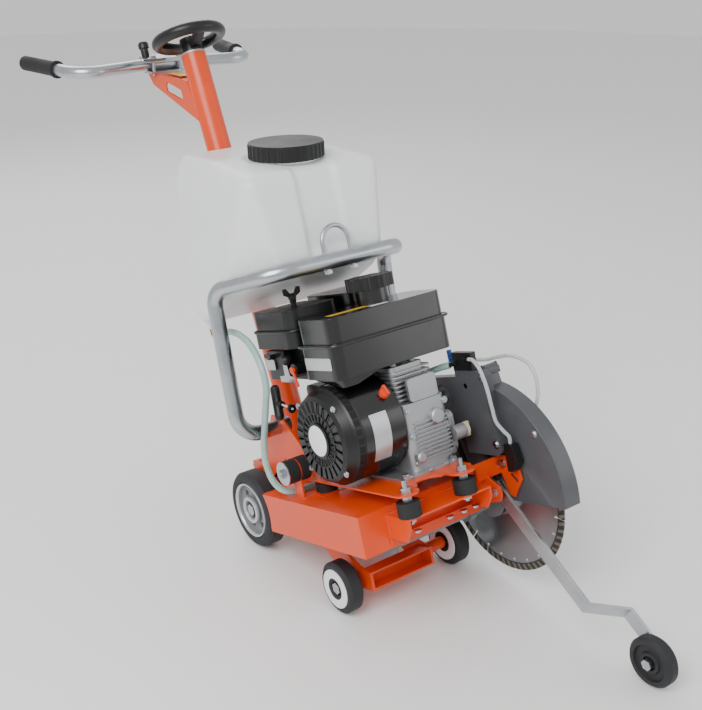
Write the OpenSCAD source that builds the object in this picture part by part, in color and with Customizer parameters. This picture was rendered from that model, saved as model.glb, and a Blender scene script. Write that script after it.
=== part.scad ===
// Walk-behind floor saw: rubber-mounted engine on a folded chassis, belt-driven blade,
// swing front axle set by a handwheel and screw, water tank, tube frame and handlebar.
// Everything is modelled square to the chassis (x across, s forward, h up, from the rear
// axle) and then pitched nose-up onto the ground by saw_frame().

/* [Stance] */
// Nose-up pitch of the chassis with the front axle fully down
pitch = 20; // [16:0.5:22]
// Diameter of the rear wheels
rear_wheel_d = 171; // [150:1:190]
// Width of the rear wheels
rear_wheel_w = 46; // [36:1:50]
// Distance between the outer faces of the rear wheels
rear_track = 338; // [330:1:360]
// Diameter of the front wheels
front_wheel_d = 108; // [96:1:112]
// Width of the front wheels
front_wheel_w = 38; // [30:1:40]
// Diameter of the front wheel axle bolts
axle_bolt_d = 16; // [12:1:18]

/* [Chassis] */
// Distance from the rear axle to the front wall of the chassis
chassis_len = 442; // [436:1:480]
// Half width of the chassis on the wheel side
chassis_right = 168; // [166:1:176]
// Half width of the chassis on the blade side
chassis_left = 121; // [119:0.5:123]
// Height of the chassis top above the rear axle
chassis_top = 46; // [42:1:50]
// Height of the chassis side plates
chassis_h = 82; // [70:1:90]
// Thickness of the chassis sheet
sheet = 4; // [3:0.5:5]
// Reach of the front cross member ahead of the front wall
cross_reach = 73; // [70:1:85]

/* [Swing axle] */
// Distance of the swing pivot ahead of the rear axle
pivot_s = 130; // [126:1:134]
// Drop of the swing pivot below the rear axle
pivot_drop = 30; // [28:1:32]
// Distance of the front axle ahead of the rear axle when fully down
front_axle_s = 276; // [270:1:282]
// Drop of the front axle below the rear axle when fully down
front_axle_drop = 134; // [128:1:140]
// Diameter of the swing pivot pin
pivot_pin_d = 20; // [16:1:22]
// Running clearance of pins and shafts, on the radius
run_gap = 0.05; // [0.02:0.01:0.09]

/* [Handle] */
// Outer diameter of the column
column_d = 56; // [50:1:60]
// Wall of the column
column_wall = 3; // [2:0.5:4]
// Length of the column along its own axis, from the chassis datum
column_len = 1018; // [960:1:1060]
// Backward lean of the column from the chassis normal
column_lean = 6.5; // [5:0.5:8]
// Diameter of the handlebar tube
bar_d = 28; // [25:1:32]
// Half width over the grip ends
bar_half = 262; // [240:1:280]
// Outer diameter of the handwheel
handwheel_d = 170; // [150:1:190]
// Diameter of the lead screw
screw_d = 16; // [14:1:18]
// Diameter of the tube frame
frame_tube_d = 32; // [28:1:34]

/* [Blade] */
// Diameter of the saw blade
blade_d = 350; // [300:1:355]
// Thickness of the blade core
blade_t = 3.2; // [2.4:0.1:4]
// Distance of the blade shaft ahead of the rear axle
blade_s = 412; // [406:1:416]
// Drop of the blade shaft below the rear axle
blade_drop = 25; // [22:1:28]
// Offset of the blade plane from the column plane
blade_x = 207; // [205:0.5:209]
// Diameter of the blade shaft
shaft_d = 30; // [25:1:32]
// Radius of the blade guard
guard_r = 215; // [210:1:225]
// Inside width of the blade guard
guard_w = 36; // [34:1:38]

/* [Engine] */
// Distance of the crankshaft ahead of the rear axle
crank_s = 333; // [329:1:337]
// Height of the crankshaft above the rear axle
crank_h = 182; // [180:1:186]
// Diameter of the crankshaft
crank_d = 25; // [20:1:28]
// Outer radius of the blower housing
blower_r = 98; // [94:1:100]
// Outer radius of the engine pulley
engine_pulley_r = 37.5; // [32:0.5:42]
// Outer radius of the blade pulley
blade_pulley_r = 47; // [42:0.5:48]

/* [Guide] */
// Diameter of the guide wheel
guide_wheel_d = 98; // [80:1:110]
// Width of the guide wheel
guide_wheel_w = 28; // [20:1:30]
// Length of the guide arm from its pivot to the wheel
guide_arm_len = 420; // [380:1:460]

/* [Hidden] */
$fn = 48;

orange = "#e8541b";
zinc = "#c4c8cb";
black = "#222326";
grey = "#47494d";
alloy = "#a9abad";

rear_r = rear_wheel_d / 2;
front_r = front_wheel_d / 2;
guide_r = guide_wheel_d / 2;
clear = 0.4;

// ---- ground and origin ----
// The bottom of the guide wheel meets the ground that both pairs of wheels stand on.
guide_pivot = [472, -2];
function ground_z(s, h) = rear_r + s * sin(pitch) + h * cos(pitch);
guide_drop = asin((ground_z(guide_pivot[0], guide_pivot[1]) - guide_r) / guide_arm_len) + pitch;
guide_hub = guide_pivot + guide_arm_len * [cos(guide_drop), -sin(guide_drop)];
front_y = -(guide_hub[0] * cos(pitch) - guide_hub[1] * sin(pitch)) - guide_r;
bar_root = [-285, 1029];
grip_reach = 193;
back_y = -bar_root[0] * cos(pitch) + bar_root[1] * sin(pitch) + grip_reach;
origin_shift = -(front_y + back_y) / 2;

module saw_frame() translate([0, origin_shift, rear_r]) rotate([-pitch, 0, 0]) children();

// ---- placing helpers, all in x, s, h ----
module at(x, s, h) translate([x, -s, h]) children();
module box(x, s, h) translate([x[0], -s[1], h[0]]) cube([x[1] - x[0], s[1] - s[0], h[1] - h[0]]);
module side(x) translate([x[0], 0, 0]) mirror([0, 1, 0]) rotate([90, 0, 90]) linear_extrude(x[1] - x[0]) children();
module rod(x, s, h, d) at(x[0], s, h) rotate([0, 90, 0]) cylinder(d = d, h = x[1] - x[0]);
module post(x, s, h, d) at(x, s, h[0]) cylinder(d = d, h = h[1] - h[0]);
module hex_x(x, s, h, af) at(x[0], s, h) rotate([0, 90, 0]) cylinder(d = af / cos(30), h = x[1] - x[0], $fn = 6);
module hex_h(x, s, h, af) at(x, s, h[0]) cylinder(d = af / cos(30), h = h[1] - h[0], $fn = 6);
module both() { children(); mirror([1, 0, 0]) children(); }

// Rounded rectangle with sharp size w by d, centred
module pad(w, d, r) {
    square([w - 2 * r, d], center = true);
    square([w, d - 2 * r], center = true);
    for (i = [-1, 1], j = [-1, 1]) translate([i * (w / 2 - r), j * (d / 2 - r)]) circle(r);
}

// Upright rounded block from h[0] to h[1]
module block(x, s, h, r) {
    at((x[0] + x[1]) / 2, (s[0] + s[1]) / 2, h[0])
        linear_extrude(h[1] - h[0]) pad(x[1] - x[0], s[1] - s[0], r);
}

// ---- bent round bar through points, with a bend radius at each inner point ----
function unit(v) = v / norm(v);
module frame_of(o, ax, az) {
    ay = cross(az, ax);
    multmatrix([
        [ax[0], ay[0], az[0], o[0]],
        [ax[1], ay[1], az[1], o[1]],
        [ax[2], ay[2], az[2], o[2]],
        [0, 0, 0, 1]
    ]) children();
}
function side_of(v) = unit(abs(v[2]) < 0.9 ? cross(v, [0, 0, 1]) : cross(v, [1, 0, 0]));
function turn_at(p, i) = acos(min(1, max(-1, unit(p[i] - p[i - 1]) * unit(p[i + 1] - p[i]))));
function cut_at(p, r, i) = (i == 0 || i == len(p) - 1) ? 0 : r[i - 1] * tan(turn_at(p, i) / 2);
// The bends swell by a hair over the straights and take their ends in
bend_swell = 0.2;
bend_take = 1.5;
module bent_bar(p, r, d) {
    for (i = [0:len(p) - 2]) {
        u = unit(p[i + 1] - p[i]);
        a = p[i] + u * (cut_at(p, r, i) - (i == 0 ? 0 : bend_take));
        b = p[i + 1] - u * (cut_at(p, r, i + 1) - (i == len(p) - 2 ? 0 : bend_take));
        frame_of(a, side_of(u), u) cylinder(d = d, h = norm(b - a));
    }
    for (i = [1:len(p) - 2]) {
        u = unit(p[i] - p[i - 1]);
        v = unit(p[i + 1] - p[i]);
        n = unit(v - (u * v) * u);
        c = p[i] - u * cut_at(p, r, i) + n * r[i - 1];
        frame_of(c, -n, cross(u, n))
            rotate_extrude(angle = turn_at(p, i)) translate([r[i - 1], 0]) circle(d = d + bend_swell);
    }
}

// ---- hose swept along hand-set points ----
function bend_point(p, i, t) =
    let (a = p[max(0, i - 1)], b = p[i], c = p[i + 1], d = p[min(len(p) - 1, i + 2)])
    0.5 * (2 * b + (c - a) * t + (2 * a - 5 * b + 4 * c - d) * t * t + (3 * b - a - 3 * c + d) * t * t * t);
function smooth(p, n) = [
    for (i = [0:len(p) - 2], k = [0:n - 1]) bend_point(p, i, k / n), p[len(p) - 1]
];
function heading(q, i) = unit(q[min(len(q) - 1, i + 1)] - q[max(0, i - 1)]);
// Ring directions carried along the path, so that the wall doesn't twist
function carry(u, t) = unit(u - (u * t) * t);
module hose(p, n, d, sides) {
    q = smooth(p, n);
    last = len(q) - 1;
    us = [for (i = 0, u = carry([0.3, 0.5, 0.8], heading(q, 0)); i <= last;
        i = i + 1, u = carry(u, heading(q, min(i, last)))) u];
    rings = [
        for (i = [0:last])
            let (t = heading(q, i), u = us[i], v = cross(t, u))
            for (k = [0:sides - 1]) q[i] + d / 2 * (u * cos(360 * k / sides) + v * sin(360 * k / sides))
    ];
    polyhedron(rings, concat(
        [[for (k = [0:sides - 1]) sides - 1 - k]],
        [for (i = [0:last - 1], k = [0:sides - 1], half = [0, 1])
            let (j = (k + 1) % sides, a = i * sides)
            half == 0 ? [a + k, a + j, a + sides + j] : [a + k, a + sides + j, a + sides + k]],
        [[for (k = [0:sides - 1]) last * sides + k]]
    ));
}

// ---- mounting positions shared by several parts ----
engine_mounts = [[-88, 497], [49, 497], [-88, 215], [49, 215]];
mount_d = 45;
plate_h = [72, 76];
cross_top = 31;
bumper = [203, 108];
rear_bumper = [10, 76];
tab_x = [143, 147];
arm_x = [117, 121];
stud_d = 10;
pulley_x = [167, 186];
guard_x = [blade_x - 19, blade_x - 15 + guard_w];
guard_c = [398, -6];
hinge = [441, 232];
arm_plane = [147, 153];
lug_x = [138, 142];
base_top = 81;
rear_plate_x = [106, 110];
shaft_h = -blade_drop;
pivot_h = -pivot_drop;

// ---- column frame: z along the column, from the chassis datum ----
column_foot = -5.4;
lever_pin = 12;
rod_low = 13;
swing_turn = 35;
// End of the push rod at rest, seen from the swing pivot, and the lever that points at it
pin_from_pivot = [column_foot - rod_low * sin(column_lean) - pivot_s, rod_low * cos(column_lean) - pivot_h];
lever_len = norm(pin_from_pivot);
lever_angle = atan2(pin_from_pivot[1], -pin_from_pivot[0]);
axle = [front_axle_s, -front_axle_drop];
axle_from_pivot = axle - [pivot_s, pivot_h];
axle_len = norm(axle_from_pivot);
axle_angle = atan2(axle_from_pivot[1], axle_from_pivot[0]);
front_top = [pivot_s, pivot_h] + axle_len * [cos(axle_angle + swing_turn), sin(axle_angle + swing_turn)];
module column_frame() translate([0, -column_foot, 0]) rotate([-column_lean, 0, 0]) children();
column_r = column_d / 2;

// ================= fixed pieces =================
side_profile = [[76, 0], [84, 1], [chassis_len, 1], [chassis_len, 0]];
module side_sheet(x) side(x) polygon([for (p = side_profile) [p[0], chassis_top - p[1] * chassis_h]]);

module chassis() color(orange) saw_frame() difference() {
    union() {
        box([-chassis_right, chassis_left], [76, chassis_len], [chassis_top - sheet, chassis_top]);
        box([-chassis_right, chassis_left], [chassis_len - sheet, chassis_len], [chassis_top - chassis_h, chassis_top]);
        side_sheet([-chassis_right, -chassis_right + sheet]);
        side_sheet([chassis_left - sheet, chassis_left]);
        // rear box between the wheels
        box([-rear_plate_x[1], rear_plate_x[1]], [-40, 80], [chassis_top - sheet, chassis_top]);
        both() box(rear_plate_x, [-40, 160], [chassis_top - chassis_h, chassis_top]);
        box([-rear_plate_x[1], rear_plate_x[1]], [-44, -40], [chassis_top - 50, chassis_top]);
        // upright tabs of the front and rear handle mounts
        both() box(tab_x, [188, 218], [chassis_top, bumper[1]]);
        both() rod(tab_x, bumper[0], bumper[1], 46);
        both() box([112, 147], [180, 226], [chassis_top - 1, chassis_top + sheet]);
        both() box([84, 88], [-6, 26], [chassis_top, rear_bumper[1]]);
        both() rod([84, 88], rear_bumper[0], rear_bumper[1], 44);
        // front cross member
        cross_member();
        // pads for the rear engine mounts
        for (m = [2, 3]) box([engine_mounts[m][0] - 30, engine_mounts[m][0] + 30], [185, 245], [chassis_top, chassis_top + 1]);
        // lug of the guide arm and bracket of the blade guard
        side(lug_x) {
            translate(guide_pivot) circle(20);
            polygon([[chassis_len - 4, 31], [453, 31], guide_pivot + [4, 20], guide_pivot + [-2, -20], [chassis_len - 4, -30]]);
        }
        guard_bracket();
    }
    rod([-200, 200], 0, 0, axle_bolt_d + 0.4);
    both() rod([122, 200], 0, 0, rear_wheel_d + 5);
    rod([-115, 115], pivot_s, pivot_h, pivot_pin_d);
    rod([110, 160], blade_s, shaft_h, 54);
    // way for the front axle tube through the wall on the blade side
    box([chassis_left - sheet - 1, chassis_left + 1], [front_top[0] - 18, front_top[0] + 18], [-60, front_top[1] + 17]);
    both() rod([80, 150], bumper[0], bumper[1], stud_d + 0.4);
    both() rod([80, 100], rear_bumper[0], rear_bumper[1], stud_d + 0.4);
    for (m = engine_mounts) post(m[0], m[1], [20, 60], stud_d + 0.4);
    rod([lug_x[0] - 2, lug_x[1] + 2], guide_pivot[0], guide_pivot[1], 8.4);
    // well for the foot of the column and the push rod
    at(0, column_foot - 6, 30) linear_extrude(30) pad(72, 76, 30);
    side([bracket_x[0] - 1, bracket_x[1] + 1]) translate([487, 16]) rotate(-40) pad(24, 9, 4.4);
    rod([bracket_x[0] - 1, bracket_x[1] + 1], 460, 44, 8.4);
    rod([bracket_x[0] - 12, bracket_x[0]], 460, 44, 19);
    rod([lug_x[0] - 14, lug_x[0]], guide_pivot[0], guide_pivot[1], 19);
}

module cross_member() {
    x = [-107, 97];
    s = [chassis_len, chassis_len + cross_reach];
    box(x, s, [cross_top - sheet, cross_top]);
    for (x0 = [x[0], x[1] - sheet])
        side([x0, x0 + sheet]) polygon([
            [s[0], cross_top], [s[1], cross_top], [s[1], cross_top - 20],
            [s[1] - 18, cross_top - 46], [s[0], cross_top - 46]
        ]);
    box(x, [s[0], s[0] + 14], [cross_top - 46, cross_top - 42]);
}

// Web past the belt, and the slotted plate that carries the guard and the inner spray nozzle
bracket_x = [182, 186];
web_s = [449, 453];
module guard_bracket() {
    box([chassis_left - sheet, bracket_x[1]], web_s, [24, 60]);
    box([chassis_left - sheet, 147], [chassis_len - sheet, web_s[1]], [24, 31]);
    box([chassis_left - sheet, 147], [chassis_len - sheet, chassis_len], [-30, 31]);
    side(bracket_x) polygon([[449, 24], [449, 60], [470, 62], [505, 40], [509, 14], [478, -26], [464, -20], [455, 10]]);
}

module engine_plate() color(orange) saw_frame() difference() {
    union() {
        box([-112, 88], [190, 478], plate_h);
        block([-112, -60], [440, 516], plate_h, 22);
        block([22, 80], [440, 516], plate_h, 22);
        block([-112, -60], [188, 250], plate_h, 22);
        block([22, 88], [188, 250], plate_h, 22);
    }
    for (m = engine_mounts) post(m[0], m[1], [60, 90], stud_d + 0.4);
    post(-18, 488, [60, 90], 60);
    for (x = [-36, 84], s = [256, 432]) post(x, s, [60, 90], 8.4);
}

module rubber_mounts() color(black) saw_frame() {
    for (m = [0:3]) difference() {
        post(engine_mounts[m][0], engine_mounts[m][1],
            [m < 2 ? cross_top : chassis_top + 1, m < 2 ? 60 : 68], mount_d);
        post(engine_mounts[m][0], engine_mounts[m][1], [20, 90], stud_d);
    }
    both() for (x = [[arm_x[1], tab_x[0]], [tab_x[1], tab_x[1] + 25]])
        difference() {
            rod(x, bumper[0], bumper[1], 50);
            rod([100, 200], bumper[0], bumper[1], stud_d);
        }
    both() difference() {
        rod([88, arm_x[0]], rear_bumper[0], rear_bumper[1], 42);
        rod([80, 130], rear_bumper[0], rear_bumper[1], stud_d);
    }
}

module mount_studs() color(zinc) saw_frame() {
    for (m = [0:3]) {
        x = engine_mounts[m][0];
        s = engine_mounts[m][1];
        foot = m < 2 ? cross_top - sheet : chassis_top - sheet;
        top = m < 2 ? 60 : 68;
        post(x, s, [foot - 12, plate_h[1] + 24], stud_d);
        hex_h(x, s, [foot - 8, foot], 17);
        hex_h(x, s, [top, plate_h[0]], 17);
        post(x, s, [plate_h[1], plate_h[1] + 2], 22);
        hex_h(x, s, [plate_h[1] + 2, plate_h[1] + 10], 17);
    }
    both() {
        rod([arm_x[0] - 12, tab_x[1] + 38], bumper[0], bumper[1], stud_d);
        rod([tab_x[1] + 25, tab_x[1] + 28], bumper[0], bumper[1], 50);
        hex_x([tab_x[1] + 28, tab_x[1] + 36], bumper[0], bumper[1], 17);
        hex_x([arm_x[0] - 9, arm_x[0]], bumper[0], bumper[1], 17);
        rod([74, arm_x[1] + 1], rear_bumper[0], rear_bumper[1], stud_d);
        hex_x([76, 84], rear_bumper[0], rear_bumper[1], 17);
    }
}

// Arm plate of the handle on each side, from the front mount back to the column foot
arm_profile = [[104, 212], [150, 206], [230, 122], [222, 84], [186, 82], [128, 118], [40, 62], [-24, 62], [-34, 90], [20, 104]];
tube_low = [125, 188];
function bar_at(y, z) = [bar_root[0] - y * cos(pitch) + z * sin(pitch), bar_root[1] + y * sin(pitch) + z * cos(pitch)];
clamp_low = -bar_d / 2 - 3;
bracket_top = [bar_at(30, clamp_low), bar_at(-30, clamp_low), [-128, 957]];
bracket_side = concat(bracket_top, [[-106, 860], [-300, 985]]);
module handle_frame() color(orange) saw_frame() difference() {
    union() {
        column_frame() translate([0, 0, 70]) cylinder(r = column_r, h = column_len - 70);
        both() side(arm_x) polygon(arm_profile);
        box([-arm_x[1], arm_x[1]], [-30, 40], [92, 98]);
        both() side([24, 28]) difference() {
            polygon(bracket_side);
            polygon([[-236, 968], [-228, 976], [-165, 944], [-163, 926], [-174, 925], [-236, 956]]);
        }
        side([-28, 28]) polygon(concat(bracket_top, [for (k = [2, 1, 0]) bracket_top[k] - [0, 5]]));
    }
    column_frame() translate([0, 0, -20]) cylinder(r = column_r - column_wall, h = column_len + 60);
    both() box([82, arm_x[0]], [-14, 36], [90, 100]);
    both() rod([100, 150], bumper[0], bumper[1], stud_d + 0.4);
    both() rod([100, 150], rear_bumper[0], rear_bumper[1], stud_d + 0.4);
    both() rod([100, 150], tube_low[0], tube_low[1], frame_tube_d + 0.2);
}

// Tube frame round the water tank, in [x, -s, h]
tube_points = [
    [-96, -125, 188], [-214, -125, 188], [-214, -150, 499], [-150, -301, 511], [150, -301, 511],
    [214, -150, 499], [214, -125, 188], [96, -125, 188]
];
tube_bends = [52, 40, 70, 70, 40, 52];
eye_x = 31;
module tube_frame() color(zinc) saw_frame() difference() {
    bent_bar(tube_points, tube_bends, frame_tube_d);
    for (x = [-eye_x, eye_x]) post(x, 301, [480, 540], 10.2);
}

module lifting_eye() color(zinc) saw_frame() {
    for (x = [-eye_x, eye_x]) {
        post(x, 301, [486, 548], 10);
        hex_h(x, 301, [487, 494], 15);
    }
    translate([0, -301, 548]) rotate([90, 0, 0]) rotate_extrude(angle = 180) translate([eye_x, 0]) circle(d = 10);
}

// ---- water tank ----
neck_pos = [184, 733];
module neck_frame() at(0, neck_pos[0], neck_pos[1]) rotate([16, 0, 0]) children();
tank_wall = 4;
tank_knots = [
    [170, -1, 471], [170, 22, 449], [166, 148, 494], [112, 256, 531], [137, 256, 682],
    [126, 130, 728], [108, -36, 764], [130, -32, 724]
];
module tank_shape(r) hull() for (p = tank_knots, m = [-1, 1])
    at(m * p[0], p[1], p[2]) sphere(r = r, $fn = 24);
module water_tank() color("#f1f2f0") saw_frame() difference() {
    union() {
        difference() {
            tank_shape(24);
            neck_frame() cylinder(r = 84, h = 60);
        }
        neck_frame() translate([0, 0, -8]) cylinder(r = 68, h = 30);
        post(outlet[0], outlet[1], [412, 440], 24);
    }
    difference() {
        tank_shape(24 - tank_wall);
        neck_frame() translate([0, 0, -4]) cylinder(r = 88, h = 60);
    }
    neck_frame() translate([0, 0, -30]) cylinder(r = 62, h = 80);
    post(outlet[0], outlet[1], [400, 440], 14);
}

module water_cap() color(black) saw_frame() neck_frame() difference() {
    union() {
        translate([0, 0, 1]) cylinder(r = 77, h = 31);
        for (a = [0:10:350]) rotate(a) translate([76, 0, 1]) cylinder(r = 3, h = 28, $fn = 16);
    }
    translate([0, 0, 0]) cylinder(r = 68 + clear, h = 26);
}

// Brass outlet elbow under the rear corner of the tank
outlet = [-158, 4];
module tank_outlet() color("#b08d4c") saw_frame() {
    post(outlet[0], outlet[1], [398, 426], 13.8);
    hex_h(outlet[0], outlet[1], [398, 411.6], 20);
    at(outlet[0], outlet[1], 398) sphere(d = 18, $fn = 32);
    at(outlet[0], outlet[1], 398) frame_of([0, 0, 0], side_of(outlet_dir), outlet_dir) cylinder(d = 8.6, h = 18);
}

// ---- hoses, in [x, -s, h] ----
outlet_dir = unit([-1, -3, 0.2]);
outlet_tip = [outlet[0], -outlet[1], 398] + 18 * outlet_dir;
valve_dir = unit([-0.5, 1, -0.2]);
valve_inlet = [163, -396, 256];
water_route = [
    outlet_tip, outlet_tip + 22 * outlet_dir, [-171, -75, 405], [-170, -110, 404], [-171, -150, 394], [-172, -185, 370],
    [-175, -212, 330], [-176, -214, 290], [-175, -195, 255], [-173, -160, 196], [-173, -140, 155],
    [-174, -138, 118], [-172, -150, 84], [-158, -164, 62], [-132, -172, 55], [-92, -172, 55],
    [-50, -165, 55], [30, -158, 55], [100, -156, 56], [130, -158, 72], [137, -158, 110],
    [137, -168, 155], [136, -205, 195], [135, -265, 222], [138, -325, 240], [148, -362, 250],
    valve_inlet + 14 * valve_dir
];
inner_route = [
    [158.6, -444, 266], [158.6, -458, 263], [157.5, -474, 245], [157.5, -484, 210], [158, -488, 170],
    [160, -490, 140], [167, -498, 120], [173, -505, 106], [173, -505, 92]
];
outer_route = [
    [178.2, -404, 264], [184, -404, 264], [196, -396, 259], [218, -392, 250], [235, -408, 246], [238, -440, 251], [238, -475, 254],
    [238, -506, 248], [238, -529, 235], [238, -540, 214], [238, -540, 190], [238, -533, 165], [238, -514, 138],
    [237, -480, 122], [235, -446, 120], [233.5, -432, 110], [233.5, -430, 94]
];
hose_d = 14;
spray_d = 8;
module water_hose() color("#bfe0dc") saw_frame() hose(water_route, 2, hose_d, 10);
module inner_spray_hose() color("#d8dde0") saw_frame() hose(inner_route, 2, spray_d, 8);
module outer_spray_hose() color("#eceff0") saw_frame() hose(outer_route, 2, spray_d, 8);

// Valve block on top of the belt guard, with the tap at its rear end
valve_x = [163, 178];
tap_at = [171, 267];
module water_valve() color(black) saw_frame() {
    block(valve_x, [384, 446], [241, 278], 3);
    box([156.6, valve_x[0] + 1], [424, 432], [262, 270]);
    at(158.6, 444, 266) rotate([-90, 0, 0]) cylinder(d = 5, h = 16);
    frame_of(valve_inlet, side_of(valve_dir), valve_dir) cylinder(d = 9, h = 14);
}
module valve_knob() color("#1f4fa8") saw_frame() at(tap_at[0], 384 - clear, tap_at[1]) rotate([-90, 0, 0]) {
    cylinder(d = 13, h = 9);
    translate([-4, -15, 9]) cube([8, 30, 6]);
}

module spray_nozzles() color(black) saw_frame() {
    side([164, bracket_x[0]]) polygon([[494, 92], [516, 92], [524, 56], [508, 36], [494, 36]]);
    side([guard_x[1], guard_x[1] + 11]) polygon([[418, 94], [442, 94], [446, 62], [420, 56]]);
}

// ---- handlebar ----
module bar_frame() at(0, bar_root[0], bar_root[1]) rotate([pitch, 0, 0]) children();
bar_corner = [bar_half - 43, -34];
bar_points = [
    [-bar_half, grip_reach, 0], [-bar_corner[0], bar_corner[1], 0], [-60, 0, 0], [60, 0, 0],
    [bar_corner[0], bar_corner[1], 0], [bar_half, grip_reach, 0]
];
module handlebar() color(zinc) saw_frame() bar_frame() bent_bar(bar_points, [52, 110, 110, 52], bar_d);
grip_dir = unit([bar_half - bar_corner[0], grip_reach - bar_corner[1], 0]);
module grip(m) color(black) saw_frame() bar_frame() {
    dir = [m * grip_dir[0], grip_dir[1], 0];
    difference() {
        frame_of([m * bar_half, grip_reach, 0] - 134 * dir, side_of(dir), dir) {
            cylinder(d = bar_d + 6, h = 139);
            cylinder(d = bar_d + 12, h = 5);
        }
        frame_of([m * bar_half, grip_reach, 0] - 140 * dir, side_of(dir), dir)
            cylinder(d = bar_d + 0.1, h = 140);
    }
}
module right_grip() grip(-1);
module left_grip() grip(1);

clamp_bolts = [for (x = [-34, 34], y = [-22, 22]) [x, y]];
module bar_clamp() color(zinc) saw_frame() bar_frame() difference() {
    union() {
        translate([-46, -30, bar_d / 2 - 6]) cube([92, 60, 10]);
        translate([-44, -30, clamp_low]) cube([88, 60, 5]);
    }
    rotate([0, 90, 0]) translate([0, 0, -80]) cylinder(d = bar_d + 0.1, h = 160);
    for (p = clamp_bolts) translate([p[0], p[1], -40]) cylinder(d = 8.4, h = 80);
}

// M8 hex bolts of the clamp, guards, bracket and guide pivot
module bolt(len) {
    cylinder(d = 8, h = len);
    translate([0, 0, len]) cylinder(d = 13 / cos(30), h = 5.5, $fn = 6);
    translate([0, 0, len - 1.6]) cylinder(d = 17, h = 1.6);
}
module bolt_x(x, s, h, len) at(x, s, h) rotate([0, -90, 0]) bolt(len);
module m8_bolts() color(zinc) saw_frame() {
    bar_frame() for (p = clamp_bolts) translate([p[0], p[1], clamp_low - 5]) bolt(bar_d / 2 + 4 + 5 - clamp_low + 1.6);
    bolt_x(arm_plane[1] + 4, guide_pivot[0], guide_pivot[1], arm_plane[1] + 4 - lug_x[0] + 1.6);
    bolt_x(guard_x[0] + 2, 460, 44, guard_x[0] + 2 - bracket_x[0] + 1.6);
    for (x = [-36, 84], s = [256, 432]) at(x, s, 66) bolt(base_top - 66 + 1.6);
}

module column_bearing() color(alloy) saw_frame() column_frame() difference() {
    union() {
        translate([0, 0, column_len - 30]) cylinder(r = column_r - column_wall, h = 30);
        translate([0, 0, column_len]) cylinder(r = column_r, h = 4);
    }
    translate([0, 0, column_len - 40]) cylinder(d = screw_d + 2 * run_gap, h = 60);
}

wheel_in = rear_track / 2 - rear_wheel_w;
module axle_pins() color(zinc) saw_frame() both() {
    rod([rear_plate_x[0] - 14, rear_track / 2 - 4], 0, 0, axle_bolt_d);
    rod([rear_plate_x[1], wheel_in - 0.6], 0, 0, 26);
    rod([0, rear_plate_x[1] + 0.4], pivot_s, pivot_h, pivot_pin_d);
    hex_x([rear_plate_x[1], rear_plate_x[1] + 6], pivot_s, pivot_h, 30);
    hex_x([rear_track / 2 - 12, rear_track / 2 - 2], 0, 0, 24);
    hex_x([rear_plate_x[0] - 12, rear_plate_x[0]], 0, 0, 24);
}

// ---- engine ----
module crankcase() color(alloy) saw_frame() difference() {
    union() {
        block([-50, 92], [250, 440], [plate_h[1], base_top], 8);
        block([-6, 100], [262, 424], [base_top - 1, 214], 14);
        for (i = [0:9]) box([10, 92], [420, 430], [100 + 8 * i, 103 + 8 * i]);
        rod([100, 114], crank_s, crank_h, 124);
        side([100, 114]) translate([crank_s + 20, 132]) pad(130, 84, 14);
        block([2, 84], [268, 396], [213, 286], 12);
        for (x = [20, 66], s = [300, 380]) post(x, s, [285, 294], 14);
        for (i = [0:6]) block([-4, 94], [258, 408], [220 + 9 * i, 223 + 9 * i], 14);
        rod([100, 128], 424, 128, 30);
    }
    rod([-20, 130], crank_s, crank_h, crank_d + 2 * run_gap);
    rod([110, 140], 424, 128, 18);
    for (x = [-36, 84], s = [256, 432]) {
        post(x, s, [60, base_top + 1], 8.4);
        post(x, s, [base_top, base_top + 8], 18);
    }
}
module oil_plug() color("#d8cdb4") saw_frame() {
    rod([114, 128], 424, 128, 18);
    difference() {
        rod([128, 142], 424, 128, 30);
        box([135, 145], [400, 420], [100, 150]);
        box([135, 145], [428, 448], [100, 150]);
    }
}
module at_crank(x) at(x, crank_s, crank_h) rotate([0, 90, 0]) children();
module blower_housing() color(black) saw_frame() difference() {
    union() {
        at_crank(-108) cylinder(r = blower_r, h = 96);
        side([-100, -12]) translate([crank_s - 60, crank_h + 50]) pad(70, 90, 12);
    }
    at_crank(-112) cylinder(r = blower_r - 3, h = 97);
    rod([-20, 0], crank_s, crank_h, 60);
    side([-97, -15]) translate([crank_s - 60, crank_h + 50]) pad(64, 84, 9);
}
module recoil_cover() color(black) saw_frame() difference() {
    at_crank(-150) rotate_extrude() polygon([
        [0, 0], [78, 0], [86, 5], [blower_r - 3, 22], [blower_r, 26], [blower_r, 41.6],
        [blower_r - 3, 41.6], [blower_r - 3, 27], [84, 10], [76, 3], [0, 3]
    ]);
    for (a = [0:15:345]) at_crank(-151) rotate(a) translate([54, -3.5, 0]) cube([24, 7, 6]);
    for (a = [7.5:15:352.5]) at_crank(-151) rotate(a) translate([38, -2, 0]) cube([14, 4, 6]);
}
module fuel_tank() color(black) saw_frame() difference() {
    union() {
        block([-122, 162], [276, 404], [294, 358], 22);
        block([-125, 165], [272, 408], [358, 362], 24);
        block([-119, 159], [278, 402], [362, 412], 22);
        hull() {
            block([-119, -12], [300, 401], [292, 294], 20);
            block([-112, -70], [374, 400], [278, 279], 12);
        }
        post(38, 332, [410, 446], 68);
    }
    block([-116, 156], [282, 398], [300, 356], 18);
    block([-113, 153], [284, 396], [355, 408], 18);
    post(38, 332, [400, 460], 58);
}
module fuel_cap() color(black) saw_frame() difference() {
    at(38, 332, 442) linear_extrude(25) {
        circle(r = 45, $fn = 72);
        for (a = [0:45:315]) rotate(a) translate([38, 0]) circle(r = 11, $fn = 32);
    }
    post(38, 332, [440, 446 + clear], 68 + 2 * clear);
    post(38, 332, [446, 452], 60);
}
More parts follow.
